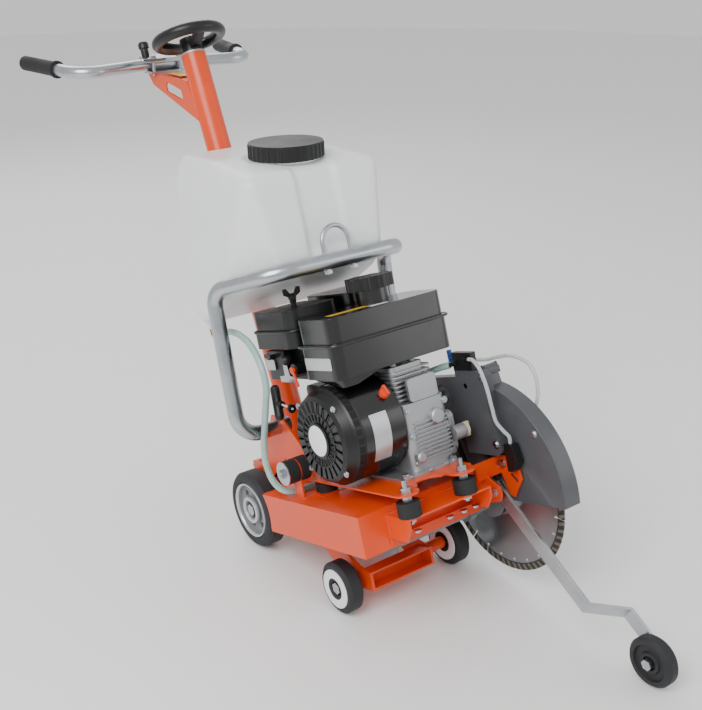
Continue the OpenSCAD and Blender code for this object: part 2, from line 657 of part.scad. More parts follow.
module carburettor() color(grey) saw_frame() {
    block([-92, -24], [176, 258], [286, 356], 6);
    block([-116, -92], [130, 200], [290, 350], 5);
    rod([-118, -92], 236, 312, 26);
}
module air_cleaner() color(black) saw_frame() {
    block([-124, 6], [104, 266], [356, 392], 22);
    block([-121, 3], [107, 263], [392, 432], 24);
    post(-60, 190, [432, 440], 12);
    box([-66, -54], [186, 194], [440, 450]);
}
module muffler() color("#1b1b1d") saw_frame() {
    block([20, 140], [96, 258], [318, 438], 26);
    box([50, 86], [236, 258], [262, 324]);
}
module drive_belt() color(black) saw_frame() side([171.6, 181.4]) difference() {
    hull() {
        translate([crank_s, crank_h]) circle(engine_pulley_r - 1);
        translate([blade_s, shaft_h]) circle(blade_pulley_r - 1);
    }
    hull() {
        translate([crank_s, crank_h]) circle(engine_pulley_r - 9);
        translate([blade_s, shaft_h]) circle(blade_pulley_r - 9);
    }
}

// Folded cover over the top and front of the belt, open towards the engine and below
belt_cover = [[286, 120], [286, 222], [390, 228], [456, 240], [472, 229], [468, 154], [488, 78]];
belt_cover_x = [163, guard_x[0]];
belt_plate = concat(belt_cover, [[476, 66], [382, 66], [382, 96], [346, 120]]);
module belt_guard() color(grey) saw_frame() difference() {
    union() {
        side(belt_cover_x) difference() {
            polygon(belt_plate);
            offset(delta = -2) polygon(belt_plate);
            polygon([[290, 50], [484, 60], [472, 125], [290, 125]]);
        }
        side([belt_cover_x[0], belt_cover_x[0] + 2]) polygon(belt_plate);
        box([belt_cover_x[0] + 0.6, 178], [386, 446], [227, 241]);
    }
    rod([150, 170], crank_s, crank_h, 52);
    rod([150, 170], 412, 208, 12);
    rod([183, 190], hinge[0], hinge[1], hinge_pin_d + 2);
}

// The guard is split along a stepped line; the front half hinges on the rear one
split_high = [424, 212];
split_mid = [461, 57];
split_low = [484, -36];
module guard_disc(r) translate(guard_c) circle(r, $fn = 96);
module rear_area() polygon([[170, -34], [170, 260], split_high + [0, 60], split_high, split_mid, split_low]);
module front_area(g) polygon([
    split_high + [g + 4, 30], split_high + [g, 0], split_mid + [g, 0], split_low + [g, 0], [640, split_low[1]], [640, 260], [460, 260]
]);
module guard_plate(x, r) side(x) intersection() { guard_disc(r); children(); }
module guard_rim(x) side(x) intersection() {
    difference() { guard_disc(guard_r); guard_disc(guard_r - 2); }
    children();
}
hinge_pin_d = 12;
hinge_x = [guard_x[0] + 3, guard_x[1] - 3];
module hinge_ear() polygon([[385, 190], [418, 196], [422, 211], hinge + [12, -7], hinge + [4, 14], hinge + [-14, 9]]);
module rear_guard() color(grey) saw_frame() difference() {
    union() {
        for (x = [guard_x[0], guard_x[1] - 2]) {
            guard_plate([x, x + 2], guard_r) rear_area();
            side([x, x + 2]) hinge_ear();
        }
        guard_rim(guard_x) rear_area();
        rod([guard_x[0] - 4, guard_x[1] + 4], hinge[0], hinge[1], hinge_pin_d);
    }
    rod([guard_x[0] - 1, guard_x[0] + 3], blade_s, shaft_h, 46);
    rod([guard_x[1] - 3, guard_x[1] + 1], blade_s, shaft_h, 120);
    rod([guard_x[0] - 1, guard_x[0] + 3], 460, 44, 8.4);
}
module front_guard() color(grey) saw_frame() difference() {
    union() {
        for (x = [guard_x[0], guard_x[1] - 2]) guard_plate([x, x + 2], guard_r) front_area(1);
        guard_rim(guard_x) front_area(1);
        rod(hinge_x, hinge[0], hinge[1], 24);
        side(hinge_x) polygon([hinge + [-6, -8], hinge + [8, -8], [454, 200], [438, 204]]);
    }
    rod([150, 250], hinge[0], hinge[1], hinge_pin_d + 2 * run_gap);
}

// ---- blade spindle ----
housing_x = [-106, 112];
module bearing_housing() color(alloy) saw_frame() difference() {
    union() {
        rod([housing_x[0], 150], blade_s, shaft_h, 50);
        intersection() {
            union() {
                rod([housing_x[0], housing_x[0] + 16], blade_s, shaft_h, 64);
                rod([housing_x[1] - 16, housing_x[1]], blade_s, shaft_h, 64);
            }
            box([-200, 200], [300, chassis_len - sheet - clear], [-80, chassis_top - sheet - clear]);
        }
        for (x = [housing_x[0] + 2, housing_x[1] - 14])
            box([x, x + 12], [blade_s - 18, blade_s + 18], [-30, chassis_top - sheet]);
    }
    rod([-200, 200], blade_s, shaft_h, shaft_d + 2 * run_gap);
}
module blade_shaft() color(zinc) saw_frame() {
    rod([housing_x[0] - 3, 232], blade_s, shaft_h, shaft_d);
    rod([housing_x[0] - 6, housing_x[0] - 0.6], blade_s, shaft_h, 38);
}
module grooved(x, r, bore) at(x[0], 0, 0) rotate([0, 90, 0]) difference() {
    w = x[1] - x[0];
    rotate_extrude() polygon([
        [bore / 2, 0], [r, 0], [r, w / 2 - 6.5], [r - 10, w / 2 - 5.6], [r - 10, w / 2 + 5.6],
        [r, w / 2 + 6.5], [r, w], [bore / 2, w]
    ]);
}
module blade_pulley() color(grey) saw_frame() at(0, blade_s, shaft_h) grooved(pulley_x, blade_pulley_r, shaft_d);
module engine_pulley() color(grey) saw_frame() at(0, crank_s, crank_h) grooved(pulley_x, engine_pulley_r, crank_d);
module blade_flanges() color(zinc) saw_frame() {
    difference() {
        union() {
            rod([194, blade_x - blade_t / 2], blade_s, shaft_h, 100);
            rod([blade_x + blade_t / 2, 217], blade_s, shaft_h, 100);
        }
        rod([180, 240], blade_s, shaft_h, shaft_d);
    }
    difference() {
        hex_x([217, 224], blade_s, shaft_h, 46);
        rod([210, 240], blade_s, shaft_h, shaft_d);
    }
}
teeth = 24;
module saw_blade() color("#8d9094") saw_frame() at(blade_x - blade_t / 2, blade_s, shaft_h) rotate([0, 90, 0]) difference() {
    cylinder(d = blade_d, h = blade_t, $fn = 96);
    translate([0, 0, -1]) cylinder(d = shaft_d, h = blade_t + 2);
    for (i = [0:teeth - 1]) rotate(i * 360 / teeth) {
        translate([blade_d / 2 - 22, -1.5, -1]) cube([30, 3, blade_t + 2]);
        translate([blade_d / 2 - 22, 0, -1]) cylinder(d = 6, h = blade_t + 2, $fn = 16);
    }
}

// ---- engine turning pieces ----
module crankshaft() color(zinc) saw_frame() rod([-122, 188], crank_s, crank_h, crank_d);
module flywheel_fan() color(grey) saw_frame() at_crank(-124) difference() {
    union() {
        translate([0, 0, 30]) cylinder(r = 78, h = 8);
        cylinder(r = 30, h = 38);
        for (a = [0:30:330]) rotate(a) translate([24, -1.5, 8]) cube([56, 3, 24]);
    }
    translate([0, 0, -1]) cylinder(d = crank_d, h = 60);
}

// T-grip of the recoil starter, pulled back and a little up
pull = unit([0, 1, 0.176]);
grip_at = [-146, -190, 250];
grip_bar = unit([0.15, 0.2, 0.97]);
module starter_grip() color(black) saw_frame() {
    frame_of(grip_at, side_of(grip_bar), grip_bar) rotate_extrude() polygon([
        [0, -37], [5.5, -36], [9, -32.5], [10, -28], [10, 28], [9, 32.5], [5.5, 36], [0, 37]
    ]);
    frame_of(grip_at - 20 * pull, side_of(pull), pull) cylinder(d = 14, h = 16);
}
module throttle_lever() color("#e8551e") saw_frame() {
    rod([-124, -118.4], 236, 312, 14);
    side([-124, -121]) polygon([[232, 318], [240, 318], [252, 280], [246, 278]]);
}
module engine_switch() color("#e8441e") saw_frame() at(-34, crank_s, crank_h)
    rotate([50, 0, 0]) translate([0, 0, blower_r + 0.4]) {
        cylinder(d = 20, h = 8);
        translate([-3, -11, 8]) cube([6, 22, 9]);
    }

// ---- handwheel, screw and push rod ----
module handwheel() color(black) saw_frame() column_frame() translate([0, 0, column_len + 4 + clear]) difference() {
    union() {
        cylinder(d = 46, h = 32);
        translate([0, 0, 34]) rotate_extrude() translate([handwheel_d / 2 - 13, 0]) {
            circle(13);
        }
        for (a = [0:120:240]) rotate(a + 30) hull() {
            translate([14, 0, 10]) cube([4, 26, 14], center = true);
            translate([handwheel_d / 2 - 16, 0, 34]) cube([4, 16, 14], center = true);
        }
    }
    translate([0, 0, -1]) cylinder(d = screw_d, h = 60);
}
nut_z = 640;
module lead_screw() color(zinc) saw_frame() column_frame() translate([0, 0, nut_z - 150])
    cylinder(d = screw_d, h = column_len - nut_z + 150 + 36);
module push_rod() color(zinc) saw_frame() {
    column_frame() difference() {
        union() {
            translate([0, 0, rod_low + 34]) cylinder(d = 26, h = nut_z - rod_low - 34);
            translate([0, 0, nut_z - 34]) cylinder(d = 40, h = 34);
            translate([-20, -9, rod_low + 2]) cube([6, 18, 34]);
            translate([14, -9, rod_low + 2]) cube([6, 18, 34]);
            translate([-20, -13, rod_low + 34]) cube([40, 26, 8]);
            translate([-20, 0, rod_low]) rotate([0, 90, 0]) cylinder(d = 24, h = 6);
            translate([14, 0, rod_low]) rotate([0, 90, 0]) cylinder(d = 24, h = 6);
            translate([-20, 0, rod_low]) rotate([0, 90, 0]) cylinder(d = lever_pin, h = 40);
        }
        translate([0, 0, nut_z - 190]) cylinder(d = screw_d + 2 * run_gap, h = 200);
    }
}

// ---- swing front axle ----
wheel_right = [-154, -154 + front_wheel_w];
wheel_left = [128, 128 + front_wheel_w];
beam_x = [-100, 60];
beam_s = [axle[0] + 18, axle[0] + 56];
beam_h = [axle[1] - 14, axle[1] + 24];
module swing_frame() color(orange) saw_frame() difference() {
    union() {
        // cross tube on the pivot, lever to the push rod, side arms to the axle beam
        rod([-98, 98], pivot_s, pivot_h, 34);
        side([-8, 8]) hull() {
            translate([pivot_s, pivot_h]) circle(16);
            translate([pivot_s, pivot_h]) rotate(180 - lever_angle) translate([lever_len + 2, 0]) circle(13);
        }
        for (x = [beam_x[0], beam_x[1] - 6]) side([x, x + 6]) polygon([
            [pivot_s - 18, pivot_h - 4], [pivot_s, pivot_h + 18], [pivot_s + 20, pivot_h + 8],
            [beam_s[0], beam_h[1] + 8], [beam_s[1], beam_h[1]], [beam_s[1], beam_h[0]], [axle[0] - 20, beam_h[0] - 2]
        ]);
        box(beam_x, [beam_s[0], beam_s[0] + 4], beam_h);
        box(beam_x, beam_s, [beam_h[1] - 4, beam_h[1]]);
        box(beam_x, beam_s, [beam_h[0], beam_h[0] + 4]);
        rod([wheel_right[1] + 0.8, beam_x[0] + 20], axle[0], axle[1], 26);
        rod([beam_x[1] - 20, wheel_left[0] - 0.8], axle[0], axle[1], 26);
    }
    rod([-120, 120], pivot_s, pivot_h, pivot_pin_d + 2 * run_gap);
    side([-10, 10]) hull() for (d = [-13, 3])
        translate([pivot_s, pivot_h]) rotate(180 - lever_angle - 0.33) translate([lever_len + d, 0]) circle(lever_pin / 2 + 1.3);
    rod([-140, beam_x[0] + 22], axle[0], axle[1], axle_bolt_d);
    rod([beam_x[1] - 22, 140], axle[0], axle[1], axle_bolt_d);
}
module front_axle_bolts() color(zinc) saw_frame() {
    rod([wheel_right[0] + 2, beam_x[0] + 20], axle[0], axle[1], axle_bolt_d);
    hex_x([wheel_right[0] + 2, wheel_right[0] + 11.6], axle[0], axle[1], 22);
    rod([beam_x[1] - 20, wheel_left[1] - 2], axle[0], axle[1], axle_bolt_d);
    hex_x([wheel_left[1] - 11.6, wheel_left[1] - 2], axle[0], axle[1], 22);
}

// Small wheel: bonded tyre on a dished centre
module small_wheel(x, s, h, d, w) at(x, s, h) rotate([0, 90, 0]) rotate_extrude($fn = 64) polygon([
    [axle_bolt_d / 2 + run_gap, 12], [30 / 2, 12], [30 / 2, 4], [19, 0], [d / 2 - 15, 0], [d / 2 - 13, 2],
    [d / 2 - 6, 2], [d / 2, 7], [d / 2, w - 7], [d / 2 - 6, w - 2], [d / 2 - 13, w - 2], [d / 2 - 15, w],
    [19, w], [15, w - 4], [15, w - 13], [axle_bolt_d / 2 + run_gap, w - 13]
]);
module right_front_wheel() color(black) saw_frame() mirror([1, 0, 0]) small_wheel(-wheel_right[1], axle[0], axle[1], front_wheel_d, front_wheel_w);
module left_front_wheel() color(black) saw_frame() small_wheel(wheel_left[0], axle[0], axle[1], front_wheel_d, front_wheel_w);

module rear_tyre() at(wheel_in, 0, 0) rotate([0, 90, 0]) rotate_extrude($fn = 96) polygon([
    [62, 4], [64, 1], [72, 0], [rear_r - 5, 2], [rear_r, 8], [rear_r, rear_wheel_w - 8],
    [rear_r - 5, rear_wheel_w - 2], [72, rear_wheel_w], [64, rear_wheel_w - 1], [62, rear_wheel_w - 4]
]);
module rear_hub() at(wheel_in, 0, 0) rotate([0, 90, 0]) difference() {
    rotate_extrude($fn = 96) polygon([
        [axle_bolt_d / 2 + run_gap, 0], [20, 0], [22, 12], [54, 14], [56, 4], [62, 4], [62, rear_wheel_w - 4],
        [56, rear_wheel_w - 4], [54, rear_wheel_w - 12], [26, rear_wheel_w - 12], [25, rear_wheel_w - 3],
        [20, rear_wheel_w - 3], [19, rear_wheel_w - 13.4], [axle_bolt_d / 2 + run_gap, rear_wheel_w - 13.4]
    ]);
    for (a = [0:60:300]) rotate(a + 30) translate([40, 0, -1]) cylinder(r = 10, h = rear_wheel_w + 2, $fn = 4);
}
module right_rear_tyre() color("#3a3b3e") saw_frame() mirror([1, 0, 0]) rear_tyre();
module left_rear_tyre() color("#3a3b3e") saw_frame() rear_tyre();
module right_rear_hub() color("#6e7174") saw_frame() mirror([1, 0, 0]) rear_hub();
module left_rear_hub() color("#6e7174") saw_frame() rear_hub();

// ---- guide arm, its wheel and bolt ----
arm_shift = 75;
knee = [281, 326];
arm_t = 6;
arm_w = 30;
module guide_frame() at(0, guide_pivot[0], guide_pivot[1]) rotate([guide_drop, 0, 0]) children();
module guide_arm() color(zinc) saw_frame() guide_frame() difference() {
    union() {
        translate([0, 0, -arm_w / 2]) linear_extrude(arm_w) polygon([
            [arm_plane[0], 15], [arm_plane[0], -knee[0]], [arm_plane[0] + arm_shift, -knee[1]],
            [arm_plane[0] + arm_shift, -guide_arm_len - 15], [arm_plane[1] + arm_shift, -guide_arm_len - 15],
            [arm_plane[1] + arm_shift, -knee[1] + 3], [arm_plane[1], -knee[0] + 3], [arm_plane[1], 15]
        ]);
        translate([guide_x[0] - 3, -guide_arm_len, 0]) rotate([0, 90, 0]) cylinder(d = 12, h = arm_plane[1] + arm_shift + 3 - guide_x[0] + 3);
        translate([guide_x[0] - 8, -guide_arm_len, 0]) rotate([0, 90, 0]) cylinder(d = 19 / cos(30), h = 7.6, $fn = 6);
    }
    translate([140, 0, 0]) rotate([0, 90, 0]) cylinder(d = 8 + 2 * run_gap, h = 20);
}
guide_x = [188, 188 + guide_wheel_w];
module guide_wheel() color(black) saw_frame() guide_frame()
    translate([guide_x[0], -guide_arm_len, 0]) rotate([0, 90, 0]) rotate_extrude($fn = 64) polygon([
        [6 + run_gap, 8], [13, 8], [14, 1], [20, 1], [22, 6], [34, 6], [36, 0], [guide_r - 5, 0], [guide_r, 6],
        [guide_r, guide_wheel_w - 6], [guide_r - 5, guide_wheel_w], [36, guide_wheel_w],
        [34, guide_wheel_w - 6], [18, guide_wheel_w - 6], [14, guide_wheel_w], [6 + run_gap, guide_wheel_w]
    ]);

chassis();
engine_plate();
rubber_mounts();
mount_studs();
handle_frame();
tube_frame();
lifting_eye();
water_tank();
tank_outlet();
water_hose();
water_valve();
inner_spray_hose();
outer_spray_hose();
spray_nozzles();
handlebar();
right_grip();
left_grip();
bar_clamp();
m8_bolts();
column_bearing();
axle_pins();
crankcase();
blower_housing();
recoil_cover();
fuel_tank();
carburettor();
air_cleaner();
muffler();
oil_plug();
drive_belt();
belt_guard();
rear_guard();
bearing_housing();
water_cap();
valve_knob();
handwheel();
lead_screw();
push_rod();
swing_frame();
front_axle_bolts();
right_front_wheel();
left_front_wheel();
right_rear_tyre();
right_rear_hub();
left_rear_tyre();
left_rear_hub();
crankshaft();
flywheel_fan();
engine_pulley();
fuel_cap();
starter_grip();
throttle_lever();
engine_switch();
blade_shaft();
blade_pulley();
blade_flanges();
saw_blade();
front_guard();
guide_arm();
guide_wheel();
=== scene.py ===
"""Looks of a walk-behind floor saw round its packed CAD frame."""

import math

import bmesh
import bpy
import numpy as np
from mathutils import Matrix, Vector


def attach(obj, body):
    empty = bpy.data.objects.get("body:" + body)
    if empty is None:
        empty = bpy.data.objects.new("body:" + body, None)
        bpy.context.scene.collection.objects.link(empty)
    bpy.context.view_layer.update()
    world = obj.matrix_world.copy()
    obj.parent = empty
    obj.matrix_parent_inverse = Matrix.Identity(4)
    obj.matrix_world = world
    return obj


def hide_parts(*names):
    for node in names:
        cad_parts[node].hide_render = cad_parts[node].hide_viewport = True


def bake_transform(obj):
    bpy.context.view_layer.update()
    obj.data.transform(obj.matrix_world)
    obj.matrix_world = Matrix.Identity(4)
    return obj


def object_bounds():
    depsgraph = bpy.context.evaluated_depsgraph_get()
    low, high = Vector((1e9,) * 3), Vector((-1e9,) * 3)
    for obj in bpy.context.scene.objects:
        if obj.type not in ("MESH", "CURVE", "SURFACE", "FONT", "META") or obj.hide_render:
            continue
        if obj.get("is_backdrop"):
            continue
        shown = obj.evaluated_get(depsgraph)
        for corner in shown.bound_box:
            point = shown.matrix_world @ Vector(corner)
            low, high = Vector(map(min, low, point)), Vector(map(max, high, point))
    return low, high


bl_info = {
    "name": "Floor saw looks",
    "version": (1, 0, 0),
    "blender": (4, 5, 0),
    "location": "View3D > Sidebar > Floor saw",
    "description": "Builds the finish, trim and hoses of a walk-behind floor saw",
    "category": "Object",
}

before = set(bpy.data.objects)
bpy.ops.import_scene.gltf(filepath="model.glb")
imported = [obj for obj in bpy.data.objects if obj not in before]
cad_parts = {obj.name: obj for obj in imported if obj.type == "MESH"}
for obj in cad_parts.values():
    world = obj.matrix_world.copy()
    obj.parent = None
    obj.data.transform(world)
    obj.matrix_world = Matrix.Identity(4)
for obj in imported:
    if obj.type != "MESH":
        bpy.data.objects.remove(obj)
START_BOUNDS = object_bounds()

# The chassis frame of the CAD model: x across, s forward, h up, in millimetres.
PITCH = math.radians(20)
REAR_R = 85.5
SHIFT = 25.9506


def at(x, s, h):
    """A point of the chassis frame, in the row frame in metres."""
    y = -s * math.cos(PITCH) + h * math.sin(PITCH) + SHIFT
    z = REAR_R + s * math.sin(PITCH) + h * math.cos(PITCH)
    return Vector((x, y, z)) / 1000


def way(x, s, h):
    """A unit direction of the chassis frame, in the row frame."""
    y = -s * math.cos(PITCH) + h * math.sin(PITCH)
    return Vector((x, y, s * math.sin(PITCH) + h * math.cos(PITCH))).normalized()


# Centres (s, h) of the crankshaft, blade and guard, and the guard's and blade's radii.
CRANK, BLADE, GUARD = (333, 182), (412, -25), (398, -6)
GUARD_R, BLADE_R = 215, 175

ACROSS, AHEAD, UP = way(1, 0, 0), way(0, 1, 0), way(0, 0, 1)


def ring_point(x, centre, r, a):
    """The point at x, at radius r and angle a round a centre (s, h)."""
    return at(x, centre[0] + r * math.cos(a), centre[1] + r * math.sin(a))


def round_crank(x, r, a):
    """A point round the crankshaft."""
    return ring_point(x, CRANK, r, a)


def linear(code):
    """Scene-linear colour of an sRGB hex code."""
    parts = [int(code[i : i + 2], 16) / 255 for i in (1, 3, 5)]
    return tuple(c / 12.92 if c <= 0.04045 else ((c + 0.055) / 1.055) ** 2.4 for c in parts) + (1.0,)


# ---------------------------------------------------------------- materials
def add(tree, kind, values=None, **settings):
    """One shader or geometry node with its settings, and its inputs set or linked."""
    n = tree.nodes.new(kind)
    for k, v in settings.items():
        setattr(n, k, v)
    for k, v in (values or {}).items():
        if isinstance(v, bpy.types.NodeSocket):
            tree.links.new(v, n.inputs[k])
        else:
            n.inputs[k].default_value = v
    return n


def ramp(tree, fac, stops):
    n = add(tree, "ShaderNodeValToRGB", {"Fac": fac})
    while len(n.color_ramp.elements) < len(stops):
        n.color_ramp.elements.new(0.5)
    for e, (pos, colour) in zip(n.color_ramp.elements, stops):
        e.position = pos
        e.color = colour
    return n.outputs["Color"]


def shade(code, k):
    return tuple(min(1, c * k) for c in linear(code)[:3]) + (1.0,)


def surface(name, code, rough, metal=0.0, grain=1.0, depth=0.02, vary=0.10, coat=0.0, edge=0.8, **sockets):
    """Principled finish: blotches in colour and roughness, a fine grain in the relief and
    softened edges. grain and depth are the relief's pitch and height in millimetres."""
    m = bpy.data.materials.new(name)
    m.use_nodes = True
    t = m.node_tree
    p = t.nodes["Principled BSDF"]
    where = add(t, "ShaderNodeTexCoord").outputs["Object"]
    big = add(t, "ShaderNodeTexNoise", {"Vector": where, "Scale": 14.0, "Detail": 4.0, "Roughness": 0.6})
    fine = add(t, "ShaderNodeTexNoise", {"Vector": where, "Scale": 1000.0 / grain, "Detail": 2.0})
    stops = [(0.30, shade(code, 1 - vary)), (0.55, linear(code)), (0.75, shade(code, 1 + vary / 2))]
    t.links.new(ramp(t, big.outputs["Fac"], stops), p.inputs["Base Color"])
    spread = add(t, "ShaderNodeMapRange", {"Value": big.outputs["Fac"], 1: 0.3, 2: 0.7, 3: rough * 0.85,
        4: min(1, rough * 1.2)})
    t.links.new(spread.outputs["Result"], p.inputs["Roughness"])
    soft = add(t, "ShaderNodeBevel", {"Radius": edge / 1000}, samples=6)
    bump = add(t, "ShaderNodeBump",
        {"Height": fine.outputs["Fac"], "Distance": depth / 1000, "Strength": 0.6,
        "Normal": soft.outputs["Normal"]})
    t.links.new(bump.outputs["Normal"], p.inputs["Normal"])
    p.inputs["Metallic"].default_value = metal
    p.inputs["Coat Weight"].default_value = coat
    p.inputs["Coat Roughness"].default_value = 0.12
    for k, v in sockets.items():
        p.inputs[k.replace("_", " ")].default_value = v
    return m


MATS = {}


def make_materials():
    """All the finishes, each named for what it is made of."""
    # powder coat: even orange with a faint orange-peel skin and a clear gloss on it
    MATS["orange"] = surface("orange_powder_coat", "#e24400", 0.34, grain=2.2, depth=0.03, vary=0.06,
        coat=0.12, edge=1.6)
    # bright zinc plate: cool grey with faint cloudy patches and a soft sheen
    MATS["zinc"] = surface("zinc_plate", "#b9bec2", 0.30, metal=1.0, grain=0.9, depth=0.012, vary=0.16,
        edge=0.5)
    # grey chassis paint on the guards: dull charcoal with a slight sheen
    MATS["guard"] = surface("charcoal_paint", "#4b4d51", 0.42, grain=1.4, depth=0.03, vary=0.10, coat=0.15,
        edge=1.0)
    # moulded rubber: matt near-black with a dusty bloom
    MATS["rubber"] = surface("moulded_rubber", "#1d1e20", 0.72, grain=0.8, depth=0.05, vary=0.18, edge=1.0)
    # solid tyre rubber: matt black, coarser skin
    MATS["tyre"] = surface("tyre_rubber", "#222326", 0.66, grain=1.6, depth=0.07, vary=0.18, edge=1.6)
    # blow-moulded polyethylene: milky white that lets a little light through
    MATS["tank"] = surface("milky_polyethylene", "#e9ecec", 0.34, grain=3.0, depth=0.05, vary=0.02, edge=2.0,
        Subsurface_Weight=0.15, Subsurface_Scale=0.012)
    # satin black moulding: fine spark-eroded texture on covers and caps
    MATS["black"] = surface("black_moulding", "#101113", 0.36, grain=0.9, depth=0.04, vary=0.12, edge=1.2)
    # glossy stove enamel: deep black with long soft reflections on the fuel tank
    MATS["enamel"] = surface("black_enamel", "#0b0c0d", 0.22, grain=4.0, depth=0.02, vary=0.08, coat=0.5,
        edge=2.4)
    MATS["brass"] = surface("turned_brass", "#b58a42", 0.28, metal=1.0, grain=0.7, depth=0.02, vary=0.12)
    # die-cast aluminium: pale, granular, slightly mottled
    MATS["alloy"] = surface("die_cast_aluminium", "#b4b6b8", 0.46, metal=0.85, grain=0.8, depth=0.08,
        vary=0.14, edge=1.2)
    # cast housing: mid grey, rough sand-cast skin
    MATS["cast"] = surface("grey_cast_iron", "#75787c", 0.55, metal=0.5, grain=1.1, depth=0.10, vary=0.14,
        edge=1.4)
    MATS["hub"] = surface("grey_nylon_hub", "#7c7f82", 0.48, grain=1.2, depth=0.03, vary=0.06, edge=1.0)
    MATS["blue"] = surface("blue_tap_plastic", "#1c56b4", 0.30, grain=0.8, depth=0.02, vary=0.06)
    MATS["signal"] = surface("signal_orange_plastic", "#e8431a", 0.32, grain=0.8, depth=0.02, vary=0.06)
    MATS["cream"] = surface("cream_plastic", "#cfc3a2", 0.50, grain=0.8, depth=0.03, vary=0.08)
    # printed foils, left blank
    MATS["foil"] = surface("silver_foil", "#c9cccf", 0.32, metal=0.7, grain=0.5, depth=0.01, vary=0.05,
        edge=0.2)
    MATS["white"] = surface("white_foil", "#eceeef", 0.35, grain=0.5, depth=0.01, vary=0.03, edge=0.2)
    MATS["yellow"] = surface("yellow_foil", "#e9b41c", 0.35, grain=0.5, depth=0.01, vary=0.04, edge=0.2)
    # painted shade: a matt near-black fill laid into slots and pockets where only shadow falls
    MATS["dark"] = surface("painted_slot_shade", "#0b0b0c", 0.80, grain=1.0, depth=0.04, vary=0.20)
    MATS["weld"] = surface("painted_weld", "#e8602a", 0.42, grain=1.5, depth=0.25, vary=0.14)
    MATS["cordage"] = surface("starter_cord", "#c9c9c2", 0.75, grain=0.9, depth=0.12, vary=0.12)
    MATS["blade"] = blade_material()
    MATS["hose"] = hose_material("braided_clear_hose", "#b9dcd6", 0.35)
    MATS["spray"] = hose_material("clear_spray_hose", "#dfe4e6", 0.45)


def blade_material():
    """Ground steel core with a dark line under the coarse diamond rim, read from the radius."""
    m = surface("ground_blade_steel", "#9a9da1", 0.26, metal=1.0, grain=0.6, depth=0.02, vary=0.08, edge=0.3)
    t = m.node_tree
    p = t.nodes["Principled BSDF"]
    hub = at(207, *BLADE)
    where = add(t, "ShaderNodeTexCoord").outputs["Object"]
    arm = add(t, "ShaderNodeVectorMath", {0: where, 1: tuple(hub)}, operation="SUBTRACT").outputs["Vector"]
    flat = add(t, "ShaderNodeVectorMath", {0: arm, 1: (0, 1, 1)}, operation="MULTIPLY").outputs["Vector"]
    far = add(t, "ShaderNodeVectorMath", {0: flat}, operation="LENGTH").outputs["Value"]
    share = add(t, "ShaderNodeMath", {0: far, 1: BLADE_R / 1000}, operation="DIVIDE").outputs["Value"]
    # the dark stop at 0.912 of the radius is painted shade at the foot of the rim
    stops = [(0.0, linear("#8f9296")), (0.70, linear("#a9acb0")), (0.905, linear("#9a9da1")),
        (0.912, linear("#3b3c3e")), (0.925, linear("#5f5d58")), (1.0, linear("#6d6a62"))]
    core = ramp(t, share, stops)
    # slanted turbo segments round the rim: 64 light and dark bars outside 0.925 of the radius, painted light and
    # shade standing for the lit and shaded flanks of the serrations
    part = add(t, "ShaderNodeSeparateXYZ", {"Vector": flat})
    turn = add(t, "ShaderNodeMath", {0: part.outputs["Z"], 1: part.outputs["Y"]},
        operation="ARCTAN2").outputs["Value"]
    slant = add(t, "ShaderNodeMath", {0: share, 1: 30.0}, operation="MULTIPLY").outputs["Value"]
    bars = add(t, "ShaderNodeMath", {0: turn, 1: 64.0, 2: slant}, operation="MULTIPLY_ADD").outputs["Value"]
    wave = add(t, "ShaderNodeMath", {0: bars}, operation="SINE").outputs["Value"]
    lit_and_shaded_bars = ramp(t, wave, [(0.0, linear("#57554f")), (0.5, linear("#8d8a82"))])
    at_rim = add(t, "ShaderNodeMath", {0: share, 1: 0.925}, operation="GREATER_THAN").outputs["Value"]
    mix = add(t, "ShaderNodeMix", {0: at_rim, 6: core, 7: lit_and_shaded_bars}, data_type="RGBA")
    t.links.new(mix.outputs[2], p.inputs["Base Color"])
    rings = add(t, "ShaderNodeMath", {0: far, 1: 5200.0}, operation="MULTIPLY").outputs["Value"]
    lines = add(t, "ShaderNodeMath", {0: rings}, operation="SINE").outputs["Value"]
    rough = add(t, "ShaderNodeMapRange", {"Value": lines, 1: -1.0, 2: 1.0, 3: 0.22, 4: 0.36})
    rim = add(t, "ShaderNodeMapRange", {"Value": share, 1: 0.915, 2: 0.925, 3: 0.0, 4: 0.45})
    both = add(t, "ShaderNodeMath", {0: rough.outputs["Result"], 1: rim.outputs["Result"]}, operation="ADD")
    t.links.new(both.outputs["Value"], p.inputs["Roughness"])
    return m


def hose_material(name, code, clear):
    """Clear hose with a crossed braid under the skin, laid out in the tube's own UV."""
    m = surface(name, code, 0.18, grain=2.0, depth=0.01, vary=0.04, coat=0.4, Transmission_Weight=clear,
        IOR=1.45)
    t = m.node_tree
    p = t.nodes["Principled BSDF"]
    uv = add(t, "ShaderNodeUVMap").outputs["UV"]
    parts = add(t, "ShaderNodeSeparateXYZ", {"Vector": uv})
    masks = []
    for sign in (1, -1):
        lean = add(t, "ShaderNodeMath", {0: parts.outputs["Y"], 1: sign * 1.0},
            operation="MULTIPLY").outputs["Value"]
        across = add(t, "ShaderNodeMath", {0: parts.outputs["X"], 1: lean}, operation="ADD").outputs["Value"]
        wave = add(t, "ShaderNodeMath", {0: across, 1: 1400.0}, operation="MULTIPLY").outputs["Value"]
        masks.append(add(t, "ShaderNodeMath", {0: wave}, operation="SINE").outputs["Value"])
    top = add(t, "ShaderNodeMath", {0: masks[0], 1: masks[1]}, operation="MAXIMUM").outputs["Value"]
    stops = [(0.80, shade(code, 0.82)), (0.95, shade(code, 1.25))]
    t.links.new(ramp(t, top, stops), p.inputs["Base Color"])
    return m


